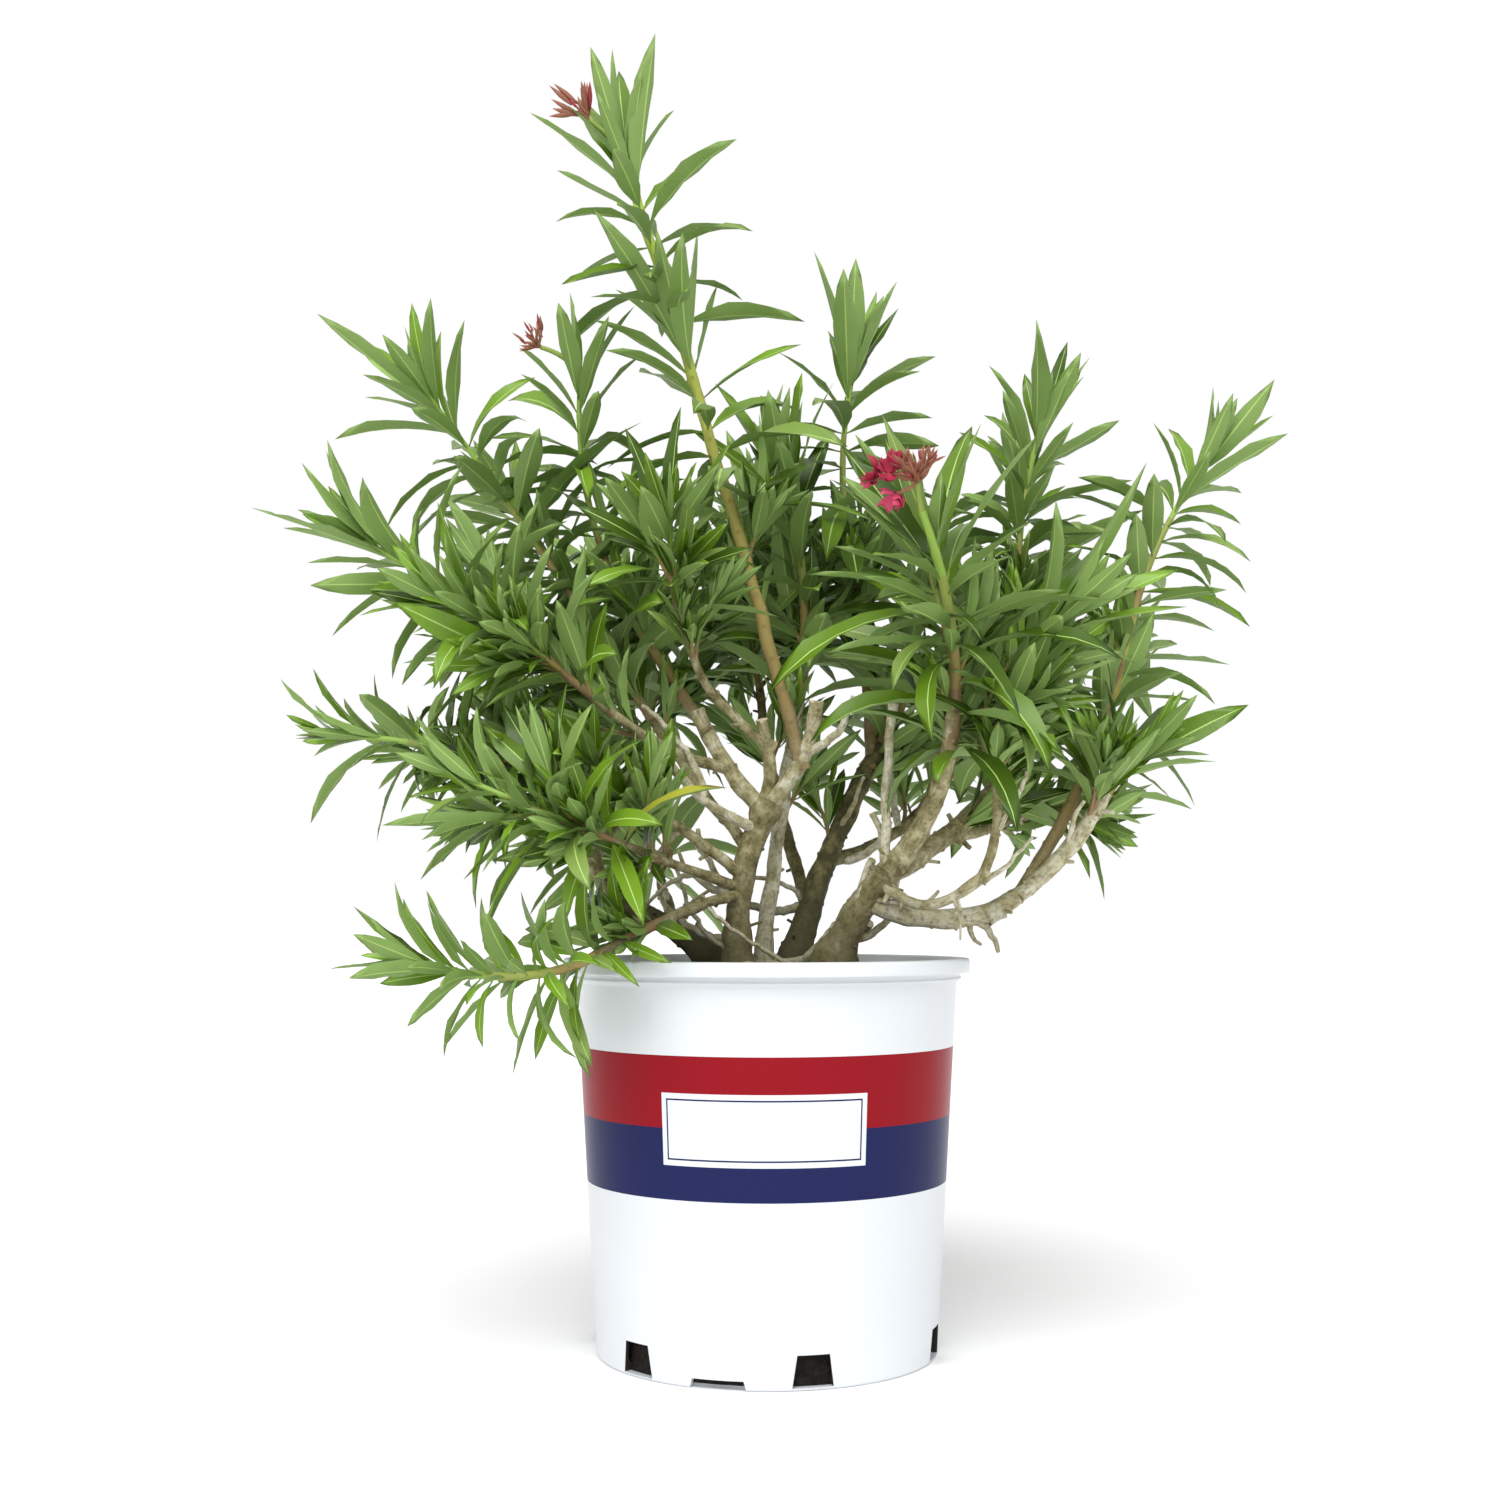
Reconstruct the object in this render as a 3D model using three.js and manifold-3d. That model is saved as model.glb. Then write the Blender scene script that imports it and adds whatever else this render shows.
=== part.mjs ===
// A young oleander in a nursery pot: stems, boughs and leafy shoots over a pot of soil.
// Millimetres, +Z up. The origin is the middle of the pot's flat underside, and -Y is the front.
// A heading is an angle in degrees round the pot's axis: 0 is right, 90 rear, 180 left, 270 front.
import * as THREE from 'three';
import { mergeVertices } from 'three/addons/utils/BufferGeometryUtils.js';
import Module from 'manifold-3d';

const wasm = await Module();
wasm.setup();

// ---------------------------------------------------------------- driving dimensions

const CLEARANCE = 0.3;
const MERGE_DISTANCE = 1e-3;

const POT_HEIGHT = 276;
const POT_FOOT_RADIUS = 120.3;
const POT_SHOULDER_RADIUS = 136.5;
const POT_NECK_RADIUS = 139.5;
const POT_RIM_RADIUS = 146;
const POT_RIM_DEPTH = 10;
const POT_NECK_DEPTH = 5;
const POT_WALL = 2.6;
const POT_FLOOR = 3;
const POT_CORNER = 7;
const POT_FOOT_CHAMFER = 1.6;
const POT_SEGMENTS = 32;

const DRAIN_COUNT = 6;
const DRAIN_HEADING = 224;
const DRAIN_SILL = 2;
const DRAIN_HEIGHT = 21;
const DRAIN_WIDTH_LOW = 28;
const DRAIN_WIDTH_HIGH = 22;
const DRAIN_DEPTH = 14;
const NOTCH_COUNT = 3;
const NOTCH_HEADING = 254;
const NOTCH_WIDTH_LOW = 39;
const NOTCH_WIDTH_HIGH = 35;
const NOTCH_HEIGHT = 6;
const NOTCH_DEPTH = 6;

const SOIL_TOP = 266;
const SOIL_EDGE_DROP = 4;
const SOIL_FLAT_RADIUS = 112;
const SOIL_SEGMENTS = 24;

const LIMB_SIDES = 6;
const LIMB_STEPS = 5;
const STEM_BURIAL = 13;
const ROOT_FLARE = 0.6;
const ROOT_FLARE_HEIGHT = 30;

const SOCKET_DEPTH = 14;
const MASS_SIDES = 9;
const MASS_RINGS = 7;
const MASS_UNEVENNESS = 0.26;
const MASS_TIP_NARROWING = 0.3;
const MASS_CLEARANCE = 0.5;

// Stems rise out of the soil at the place that root gives.
// Every other limb grows from its parent, at that share of the parent's length.
// heading, reach and height place the limb's tip; foot and tip are its radii.
// bow is how far its middle stands off a straight line, outwards and down.
// sway is how far the middle swings to the anticlockwise side.
const LIMBS = [
  { name: 'main_stem', root: { heading: 213, reach: 22 },
    heading: 275, reach: 12, height: 386, foot: 8.2, tip: 9.4, bow: -11, sway: 0 },
  { name: 'pale_stem', root: { heading: 105, reach: 16 },
    heading: 54, reach: 42, height: 467, foot: 6.4, tip: 4.6, bow: -4, sway: -2 },
  { name: 'rear_stem', root: { heading: 70, reach: 45 },
    heading: 40, reach: 115, height: 435, foot: 10.2, tip: 7.4, bow: -7, sway: 1 },
  { name: 'right_stem', root: { heading: 325, reach: 53 },
    heading: 326, reach: 108, height: 340, foot: 10.8, tip: 9.4, bow: -10, sway: 0 },
  { name: 'left_log', root: { heading: 128, reach: 46 },
    heading: 154, reach: 136, height: 312, foot: 8.8, tip: 7.4, bow: -16, sway: -3 },

  { name: 'left_stub', parent: 'main_stem', share: 0.96,
    heading: 206, reach: 55, height: 452, foot: 6.6, tip: 5.2, bow: 5, sway: 0 },
  { name: 'right_stub', parent: 'main_stem', share: 0.98,
    heading: 331, reach: 41, height: 458, foot: 6.8, tip: 5, bow: 8, sway: 1 },
  { name: 'middle_stub', parent: 'main_stem', share: 0.99,
    heading: 262, reach: 24, height: 445, foot: 5.2, tip: 4.4, bow: -3, sway: 3 },
  { name: 'leader', parent: 'right_stub', share: 0.49,
    heading: 190, reach: 106, height: 864, foot: 5.4, tip: 3.6, bow: -3, sway: -5 },
  { name: 'whorl_bough', parent: 'middle_stub', share: 0.73,
    heading: 226, reach: 92, height: 526, foot: 3.8, tip: 2.8, bow: 13, sway: -5 },
  { name: 'bud_bough', parent: 'left_stub', share: 0.85,
    heading: 173, reach: 112, height: 551, foot: 4.4, tip: 3, bow: 4, sway: -2 },

  { name: 'flower_bough', parent: 'right_stem', share: 0.97,
    heading: 315, reach: 176, height: 456, foot: 8.2, tip: 4.4, bow: 9, sway: 8 },
  { name: 'thick_bough', parent: 'right_stem', share: 0.92,
    heading: 3, reach: 172, height: 404, foot: 8.2, tip: 6, bow: 6, sway: 0 },
  { name: 'upright_stub', parent: 'right_stem', share: 0.91,
    heading: 316, reach: 120, height: 450, foot: 3.8, tip: 3.2, bow: 7, sway: -4 },
  { name: 'low_loop', parent: 'right_stem', share: 0.86,
    heading: 327, reach: 175, height: 335, foot: 3.6, tip: 3.4, bow: 20, sway: -8 },
  { name: 'high_loop', parent: 'low_loop', share: 0.99,
    heading: 326, reach: 179, height: 416, foot: 3.4, tip: 2.8, bow: 4, sway: 7 },
  { name: 'low_sweep', parent: 'right_stem', share: 0.69,
    heading: 343, reach: 170, height: 311, foot: 7.6, tip: 7, bow: 11, sway: -2 },
  { name: 'high_sweep', parent: 'low_sweep', share: 0.97,
    heading: 352, reach: 242, height: 391, foot: 6.8, tip: 5.2, bow: 8, sway: -2 },
  { name: 'far_right_bough', parent: 'high_sweep', share: 0.16,
    heading: 0, reach: 269, height: 522, foot: 5, tip: 3, bow: 14, sway: 3 },
  { name: 'brown_bough', parent: 'thick_bough', share: 0.46,
    heading: 14, reach: 215, height: 387, foot: 4.8, tip: 3.4, bow: 5, sway: 9 },
  { name: 'right_top_bough', parent: 'thick_bough', share: 0.93,
    heading: 7, reach: 190, height: 556, foot: 5, tip: 3, bow: 4, sway: -3 },
  { name: 'top_right_bough', parent: 'rear_stem', share: 0.93,
    heading: 44, reach: 90, height: 590, foot: 5, tip: 3, bow: -5, sway: -1 },

  { name: 'left_upright', parent: 'left_log', share: 0.93,
    heading: 146, reach: 166, height: 403, foot: 6.2, tip: 5, bow: 2, sway: 8 },
  { name: 'low_left_bough', parent: 'main_stem', share: 0.5,
    heading: 228, reach: 169, height: 280, foot: 4.2, tip: 3.6, bow: -7, sway: 9 },
  { name: 'left_lower_bough', parent: 'main_stem', share: 0.54,
    heading: 226, reach: 151, height: 356, foot: 3.8, tip: 3, bow: 0, sway: -3 },
  { name: 'left_middle_bough', parent: 'main_stem', share: 0.6,
    heading: 206, reach: 136, height: 396, foot: 4.2, tip: 3.2, bow: -5, sway: 8 },
  { name: 'left_pale_stub', parent: 'main_stem', share: 0.86,
    heading: 222, reach: 93, height: 413, foot: 3.8, tip: 3.2, bow: 7, sway: 1 },
  { name: 'left_upper_bough', parent: 'left_stub', share: 0.46,
    heading: 213, reach: 144, height: 456, foot: 4.4, tip: 3, bow: 9, sway: 5 },
  { name: 'left_high_bough', parent: 'main_stem', share: 0.74,
    heading: 174, reach: 124, height: 509, foot: 4.4, tip: 3, bow: 3, sway: -2 },

  { name: 'rear_left_bough', parent: 'left_upright', share: 0.42,
    heading: 122, reach: 180, height: 458, foot: 5, tip: 3.2, bow: 10, sway: 0 },
  { name: 'rear_low_bough', parent: 'left_log', share: 0.5,
    heading: 118, reach: 184, height: 344, foot: 5.4, tip: 3.6, bow: 4, sway: 0 },
  { name: 'rear_middle_bough', parent: 'rear_stem', share: 0.3,
    heading: 92, reach: 128, height: 490, foot: 5.6, tip: 3.4, bow: 10, sway: 0 },
  { name: 'rear_right_bough', parent: 'rear_stem', share: 0.5,
    heading: 44, reach: 202, height: 412, foot: 5.6, tip: 3.6, bow: 12, sway: 0 },
];

// A mass starts round its limb's tip, or at that share of its limb, and ends at the tip that heading,
// reach and height give. girth is its widest radius, and droop how far its far end sags.
const MASSES = [
  { limb: 'leader', share: 0.7,
    heading: 191, reach: 104, height: 946, girth: 74, droop: 0 },
  { limb: 'leader', part: 'collar', share: 0.36,
    heading: 190, reach: 60, height: 740, girth: 62, droop: 0 },
  { limb: 'bud_bough',
    heading: 180, reach: 158, height: 770, girth: 62, droop: 0 },
  { limb: 'whorl_bough',
    heading: 242, reach: 152, height: 628, girth: 68, droop: 0 },
  { limb: 'pale_stem',
    heading: 42, reach: 22, height: 704, girth: 58, droop: 0 },
  { limb: 'rear_stem',
    heading: 36, reach: 172, height: 604, girth: 54, droop: 0 },
  { limb: 'top_right_bough',
    heading: 35, reach: 90, height: 802, girth: 70, droop: 0 },
  { limb: 'flower_bough',
    heading: 293, reach: 222, height: 640, girth: 80, droop: 0 },
  { limb: 'high_loop',
    heading: 329, reach: 262, height: 572, girth: 58, droop: 0 },
  { limb: 'thick_bough',
    heading: 355, reach: 196, height: 572, girth: 42, droop: 0 },
  { limb: 'right_top_bough',
    heading: 7, reach: 220, height: 746, girth: 70, droop: 0 },
  { limb: 'far_right_bough',
    heading: 1, reach: 366, height: 712, girth: 66, droop: 0 },
  { limb: 'high_sweep',
    heading: 352, reach: 318, height: 488, girth: 60, droop: 0 },
  { limb: 'brown_bough',
    heading: 9, reach: 322, height: 380, girth: 52, droop: 24 },
  { limb: 'left_high_bough',
    heading: 184, reach: 300, height: 742, girth: 72, droop: 0 },
  { limb: 'left_upper_bough',
    heading: 196, reach: 346, height: 596, girth: 70, droop: 0 },
  { limb: 'left_middle_bough',
    heading: 189, reach: 358, height: 434, girth: 64, droop: 0 },
  { limb: 'left_lower_bough',
    heading: 209, reach: 296, height: 420, girth: 58, droop: 0 },
  { limb: 'low_left_bough',
    heading: 212, reach: 326, height: 284, girth: 56, droop: 44 },
  { limb: 'left_upright',
    heading: 158, reach: 280, height: 560, girth: 68, droop: 0 },
  { limb: 'rear_left_bough',
    heading: 117, reach: 304, height: 642, girth: 78, droop: 0 },
  { limb: 'rear_low_bough',
    heading: 130, reach: 316, height: 398, girth: 66, droop: 16 },
  { limb: 'rear_middle_bough',
    heading: 90, reach: 222, height: 720, girth: 80, droop: 0 },
  { limb: 'rear_right_bough',
    heading: 51, reach: 316, height: 566, girth: 80, droop: 0 },
];

// ---------------------------------------------------------------- materials

function finish(color, roughness) {
  return new THREE.MeshStandardMaterial({ color, roughness, metalness: 0 });
}

const BARK = { color: 0x8c7d66, roughness: 0.9 };
const GREEN_BARK = { color: 0x8f9c4e, roughness: 0.7 };
const LEAF = { color: 0x4c7a36, roughness: 0.5 };
const GREEN_LIMBS = ['leader', 'bud_bough', 'top_right_bough', 'right_top_bough', 'far_right_bough'];

// ---------------------------------------------------------------- solids

function solidOf(geometry) {
  const bare = geometry.clone();
  bare.deleteAttribute('normal');
  bare.deleteAttribute('uv');
  const merged = mergeVertices(bare, MERGE_DISTANCE);
  return new wasm.Manifold(new wasm.Mesh({
    numProp: 3,
    vertProperties: new Float32Array(merged.attributes.position.array),
    triVerts: new Uint32Array(merged.index.array),
  }));
}

function geometryOf(solid) {
  const { vertProperties, triVerts } = solid.getMesh();
  const geometry = new THREE.BufferGeometry();
  geometry.setAttribute('position', new THREE.BufferAttribute(vertProperties, 3));
  geometry.setIndex(new THREE.BufferAttribute(triVerts, 1));
  geometry.computeVertexNormals();
  return geometry;
}

function largestBody(solid) {
  const bodies = solid.decompose();
  return bodies.reduce((best, body) => (body.volume() > best.volume() ? body : best));
}

function boxesMeet(first, second) {
  const a = first.boundingBox();
  const b = second.boundingBox();
  return [0, 1, 2].every((axis) => a.min[axis] < b.max[axis] && b.min[axis] < a.max[axis]);
}

function cutBy(solid, tools) {
  const near = tools.filter((tool) => boxesMeet(solid, tool));
  return largestBody(near.reduce((rest, tool) => rest.subtract(tool), solid));
}

function mesh(name, solid, { color, roughness }) {
  const piece = new THREE.Mesh(geometryOf(solid), finish(color, roughness));
  piece.name = name;
  return piece;
}

// ---------------------------------------------------------------- places and chance

const UP = new THREE.Vector3(0, 0, 1);

function place(heading, reach, height) {
  const angle = THREE.MathUtils.degToRad(heading);
  return new THREE.Vector3(reach * Math.cos(angle), reach * Math.sin(angle), height);
}

// A linear congruential generator with the usual 32-bit constants.
function seededRandom(seed) {
  let state = seed;
  return () => {
    state = (Math.imul(state, 1664525) + 1013904223) >>> 0;
    return state / 2 ** 32;
  };
}

// ---------------------------------------------------------------- pot and soil

const POT_NECK = POT_HEIGHT - POT_RIM_DEPTH;
const POT_SHOULDER = POT_NECK - POT_NECK_DEPTH;

function wallRadius(height) {
  const widening = POT_SHOULDER_RADIUS - POT_FOOT_RADIUS;
  return POT_FOOT_RADIUS + (widening * height) / POT_SHOULDER;
}

function lathe(profile, segments) {
  const points = profile.map(([radius, height]) => new THREE.Vector2(radius, height));
  return new THREE.LatheGeometry(points, segments).rotateX(Math.PI / 2);
}

function potShell() {
  const inside = wallRadius(POT_CORNER) - POT_WALL;
  return solidOf(lathe([
    [0, 0],
    [POT_FOOT_RADIUS - POT_FOOT_CHAMFER, 0],
    [wallRadius(POT_FOOT_CHAMFER), POT_FOOT_CHAMFER],
    [POT_SHOULDER_RADIUS, POT_SHOULDER],
    [POT_NECK_RADIUS, POT_SHOULDER],
    [POT_NECK_RADIUS, POT_NECK],
    [POT_RIM_RADIUS, POT_NECK],
    [POT_RIM_RADIUS, POT_HEIGHT],
    [POT_NECK_RADIUS - POT_WALL, POT_HEIGHT],
    [POT_SHOULDER_RADIUS - POT_WALL, POT_SHOULDER],
    [inside, POT_CORNER + POT_FLOOR],
    [inside - POT_CORNER, POT_FLOOR],
    [0, POT_FLOOR],
  ], POT_SEGMENTS));
}

// A tapered block that reaches depth mm into the foot of the wall, and as far out of it.
function wallCutter(heading, widthLow, widthHigh, bottom, top, depth) {
  const outline = new THREE.Shape([
    new THREE.Vector2(-widthLow / 2, bottom),
    new THREE.Vector2(widthLow / 2, bottom),
    new THREE.Vector2(widthHigh / 2, top),
    new THREE.Vector2(-widthHigh / 2, top),
  ]);
  const geometry = new THREE.ExtrudeGeometry(outline, { depth: 2 * depth, bevelEnabled: false });
  geometry.rotateX(Math.PI / 2);
  geometry.translate(0, -(POT_FOOT_RADIUS - depth), 0);
  geometry.rotateZ(THREE.MathUtils.degToRad(heading + 90));
  return solidOf(geometry);
}

function drainCutters() {
  return Array.from({ length: DRAIN_COUNT }, (_, n) => wallCutter(
    DRAIN_HEADING + (360 / DRAIN_COUNT) * n,
    DRAIN_WIDTH_LOW,
    DRAIN_WIDTH_HIGH,
    DRAIN_SILL,
    DRAIN_SILL + DRAIN_HEIGHT,
    DRAIN_DEPTH,
  ));
}

function notchCutters() {
  return Array.from({ length: NOTCH_COUNT }, (_, n) => wallCutter(
    NOTCH_HEADING + (360 / NOTCH_COUNT) * n,
    NOTCH_WIDTH_LOW,
    NOTCH_WIDTH_HIGH,
    -CLEARANCE,
    NOTCH_HEIGHT,
    NOTCH_DEPTH,
  ));
}

function makePot() {
  const solid = [...drainCutters(), ...notchCutters()]
    .reduce((shell, cutter) => shell.subtract(cutter), potShell());
  return mesh('pot', solid, { color: 0xf4f5f4, roughness: 0.3 });
}

function makeSoil() {
  const corner = POT_CORNER + POT_FLOOR;
  const slack = POT_WALL + 2 * CLEARANCE;
  const solid = solidOf(lathe([
    [0, POT_FLOOR + CLEARANCE],
    [wallRadius(POT_CORNER) - slack - POT_CORNER, POT_FLOOR + CLEARANCE],
    [wallRadius(POT_CORNER) - slack, corner + CLEARANCE],
    [wallRadius(POT_SHOULDER) - slack, SOIL_TOP - SOIL_EDGE_DROP],
    [SOIL_FLAT_RADIUS, SOIL_TOP],
    [0, SOIL_TOP],
  ], SOIL_SEGMENTS));
  return mesh('soil', solid, { color: 0x3a3028, roughness: 1 });
}

// ---------------------------------------------------------------- limbs

function limbFoot(limb, curves) {
  if (limb.root) {
    return place(limb.root.heading, limb.root.reach, SOIL_TOP - STEM_BURIAL);
  }
  return curves.get(limb.parent).getPoint(limb.share);
}

function limbCurve(limb, curves) {
  const foot = limbFoot(limb, curves);
  const tip = place(limb.heading, limb.reach, limb.height);
  const along = new THREE.Vector3().subVectors(tip, foot).normalize();
  const side = new THREE.Vector3().crossVectors(UP, along).normalize();
  const below = new THREE.Vector3().crossVectors(side, along);
  const middle = new THREE.Vector3().addVectors(foot, tip).multiplyScalar(0.5);
  middle.addScaledVector(below, 2 * limb.bow);
  middle.addScaledVector(side, 2 * limb.sway);
  return new THREE.QuadraticBezierCurve3(foot, middle, tip);
}

function limbRadius(limb, share, height) {
  const taper = limb.foot + (limb.tip - limb.foot) * share;
  const nearness = 1 - (height - SOIL_TOP) / ROOT_FLARE_HEIGHT;
  const flare = limb.root ? ROOT_FLARE * THREE.MathUtils.clamp(nearness, 0, 1) : 0;
  return taper * (1 + flare);
}

// A straight unit rod is bent on to the curve, ring by ring.
function limbTube(limb, curve, growth) {
  const rod = new THREE.CylinderGeometry(1, 1, 1, LIMB_SIDES, LIMB_STEPS);
  const { tangents, normals, binormals } = curve.computeFrenetFrames(LIMB_STEPS, false);
  const vertex = new THREE.Vector3();
  const position = rod.attributes.position;
  for (let n = 0; n < position.count; n += 1) {
    vertex.fromBufferAttribute(position, n);
    const ring = Math.round((vertex.y + 0.5) * LIMB_STEPS);
    const point = curve.getPointAt(ring / LIMB_STEPS);
    const radius = limbRadius(limb, ring / LIMB_STEPS, point.z) + growth;
    point.addScaledVector(binormals[ring], vertex.x * radius);
    point.addScaledVector(normals[ring], vertex.z * radius);
    point.addScaledVector(tangents[ring], 2 * growth * vertex.y);
    position.setXYZ(n, point.x, point.y, point.z);
  }
  return solidOf(rod);
}

function groundBlock() {
  const depth = 2 * STEM_BURIAL;
  const block = new THREE.BoxGeometry(2 * POT_RIM_RADIUS, 2 * POT_RIM_RADIUS, depth);
  block.translate(0, 0, SOIL_TOP + CLEARANCE - depth / 2);
  return solidOf(block);
}

function makeLimbs() {
  const curves = new Map();
  const grown = [];
  const pieces = [];
  const ground = groundBlock();
  for (const limb of LIMBS) {
    const curve = limbCurve(limb, curves);
    const tools = limb.root ? [...grown, ground] : grown;
    const solid = cutBy(limbTube(limb, curve, 0), tools);
    curves.set(limb.name, curve);
    grown.push(limbTube(limb, curve, CLEARANCE));
    pieces.push(mesh(limb.name, solid, GREEN_LIMBS.includes(limb.name) ? GREEN_BARK : BARK));
  }
  return { curves, grown, pieces };
}

// ---------------------------------------------------------------- masses of leaves

function unitBall() {
  const ball = new THREE.SphereGeometry(1, MASS_SIDES, MASS_RINGS).rotateX(Math.PI / 2);
  ball.deleteAttribute('normal');
  ball.deleteAttribute('uv');
  return mergeVertices(ball, MERGE_DISTANCE);
}

// The ball is drawn out from base to tip, narrowed towards the tip and made uneven by chance.
function massShape(mass, base, tip, seed, growth) {
  const random = seededRandom(seed);
  const axis = new THREE.Vector3().subVectors(tip, base);
  const length = axis.length();
  const turn = new THREE.Quaternion().setFromUnitVectors(UP, axis.normalize());
  const ball = unitBall();
  const position = ball.attributes.position;
  const vertex = new THREE.Vector3();
  for (let n = 0; n < position.count; n += 1) {
    vertex.fromBufferAttribute(position, n);
    const share = (vertex.z + 1) / 2;
    const unevenness = 1 + MASS_UNEVENNESS * (2 * random() - 1);
    const girth = mass.girth * unevenness * (1 - MASS_TIP_NARROWING * share ** 2) + growth;
    vertex.set(vertex.x * girth, vertex.y * girth, share * length + growth * vertex.z);
    vertex.applyQuaternion(turn).add(base);
    vertex.z -= mass.droop * share ** 2;
    position.setXYZ(n, vertex.x, vertex.y, vertex.z);
  }
  return solidOf(ball);
}

function massBase(mass, curve, tip) {
  if (mass.share) {
    return curve.getPoint(mass.share);
  }
  const end = curve.getPoint(1);
  const inwards = new THREE.Vector3().subVectors(end, tip).normalize();
  return end.addScaledVector(inwards, SOCKET_DEPTH);
}

function makeMasses(curves, limbsGrown) {
  const grown = [];
  return MASSES.map((mass, n) => {
    const tip = place(mass.heading, mass.reach, mass.height + mass.droop);
    const base = massBase(mass, curves.get(mass.limb), tip);
    const solid = cutBy(massShape(mass, base, tip, n + 1, 0), [...limbsGrown, ...grown]);
    grown.push(massShape(mass, base, tip, n + 1, MASS_CLEARANCE));
    const part = mass.part ? `_${mass.part}` : '';
    return mesh(`${mass.limb}${part}_leaves`, solid, LEAF);
  });
}

// ---------------------------------------------------------------- whole plant

const limbs = makeLimbs();
const group = new THREE.Group();
group.add(makePot(), makeSoil(), ...limbs.pieces, ...makeMasses(limbs.curves, limbs.grown));

export default group;
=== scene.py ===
"""A potted oleander: leafy shoots on weathered boughs, in a white nursery pot with two printed bands.

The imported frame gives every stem, bough and foliage mass its place. Each operator below dresses one
group of them, and the panel lists the operators. Lengths are in metres, through the MM factor.
"""
import math
from dataclasses import dataclass, field

import bmesh
import bpy
import numpy as np
from bpy.props import FloatProperty, FloatVectorProperty, IntProperty, PointerProperty
from mathutils import Matrix, Quaternion, Vector, noise
from mathutils.bvhtree import BVHTree


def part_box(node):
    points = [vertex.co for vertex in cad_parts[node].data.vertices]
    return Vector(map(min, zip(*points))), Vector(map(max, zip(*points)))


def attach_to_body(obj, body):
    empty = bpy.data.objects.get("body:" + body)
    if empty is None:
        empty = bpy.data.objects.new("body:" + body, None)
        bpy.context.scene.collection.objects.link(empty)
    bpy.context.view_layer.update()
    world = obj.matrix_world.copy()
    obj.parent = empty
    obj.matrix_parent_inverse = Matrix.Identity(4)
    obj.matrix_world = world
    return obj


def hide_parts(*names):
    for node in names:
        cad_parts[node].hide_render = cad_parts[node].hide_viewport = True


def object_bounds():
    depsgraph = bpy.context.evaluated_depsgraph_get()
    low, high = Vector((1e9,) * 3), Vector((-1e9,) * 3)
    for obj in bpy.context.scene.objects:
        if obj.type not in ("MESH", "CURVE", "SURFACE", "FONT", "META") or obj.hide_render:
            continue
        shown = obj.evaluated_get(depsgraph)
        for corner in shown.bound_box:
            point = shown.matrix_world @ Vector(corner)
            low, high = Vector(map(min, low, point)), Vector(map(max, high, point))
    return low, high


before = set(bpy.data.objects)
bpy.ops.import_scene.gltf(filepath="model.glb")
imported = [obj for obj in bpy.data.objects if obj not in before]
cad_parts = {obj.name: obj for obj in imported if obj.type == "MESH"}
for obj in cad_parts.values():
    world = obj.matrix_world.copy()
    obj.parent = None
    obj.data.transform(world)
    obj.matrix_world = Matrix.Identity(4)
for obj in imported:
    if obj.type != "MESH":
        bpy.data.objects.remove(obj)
CAD_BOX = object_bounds()

bl_info = {
    "name": "Potted oleander",
    "version": (1, 0, 0),
    "blender": (4, 5, 0),
    "location": "3D View > Sidebar > Oleander",
    "description": "Dresses the frame of an oleander in a nursery pot with bark, leaves and blossom",
    "category": "Object",
}

MM = 0.001
FULL_TURN = 2 * math.pi
UP = np.array((0.0, 0.0, 1.0))


# ---------------------------------------------------------------- colours, nodes and meshes

def linear(code):
    """Turns an sRGB hex colour into linear red, green, blue and alpha."""
    shares = [int(code[n:n + 2], 16) / 255 for n in (1, 3, 5)]
    return (*[s / 12.92 if s <= 0.04045 else ((s + 0.055) / 1.055) ** 2.4 for s in shares], 1.0)


def add(tree, kind, inputs=(), **settings):
    """Adds a node, sets its properties, and gives its inputs their values or links.

    The inputs are a dict by name or number, or a tuple in their own order. A node that is given as a
    value stands for its first output.
    """
    made = tree.nodes.new(kind)
    for name, value in settings.items():
        setattr(made, name, value)
    for key, value in inputs.items() if isinstance(inputs, dict) else enumerate(inputs):
        if isinstance(value, bpy.types.Node):
            value = value.outputs[0]
        if isinstance(value, bpy.types.NodeSocket):
            tree.links.new(value, made.inputs[key])
        else:
            made.inputs[key].default_value = value
    return made


def set_stops(ramp, stops):
    """Gives a colour ramp its stops, each a position and a hex colour."""
    elements = ramp.color_ramp.elements
    for number in (0, -1):
        elements[number].position, code = stops[number]
        elements[number].color = linear(code)
    for position, code in stops[1:-1]:
        elements.new(position).color = linear(code)


def material_tree(name):
    """A new material and its empty tree."""
    material = bpy.data.materials.new(name)
    material.use_nodes = True
    material.node_tree.nodes.clear()
    return material, material.node_tree


def finish_material(tree, shader):
    """Ends a material's tree with one Principled shader that has the given inputs."""
    principled = add(tree, "ShaderNodeBsdfPrincipled", shader)
    add(tree, "ShaderNodeOutputMaterial", {"Surface": principled})


def even_material(name, colour, roughness, ior):
    """A material of one colour, with no relief."""
    material, tree = material_tree(name)
    finish_material(tree, {"Base Color": linear(colour), "Roughness": roughness, "IOR": ior})
    return material


def grained_material(name, size, strength, depth, shader):
    """A material of one colour, with a fine even relief of the given size and depth."""
    material, tree = material_tree(name)
    place = add(tree, "ShaderNodeTexCoord").outputs["Object"]
    grain = add(tree, "ShaderNodeTexNoise", {"Vector": place, "Scale": 1 / size, "Detail": 2.0})
    bump = add(tree, "ShaderNodeBump", {"Height": grain, "Strength": strength, "Distance": depth})
    finish_material(tree, {**shader, "Normal": bump})
    return material


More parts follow.
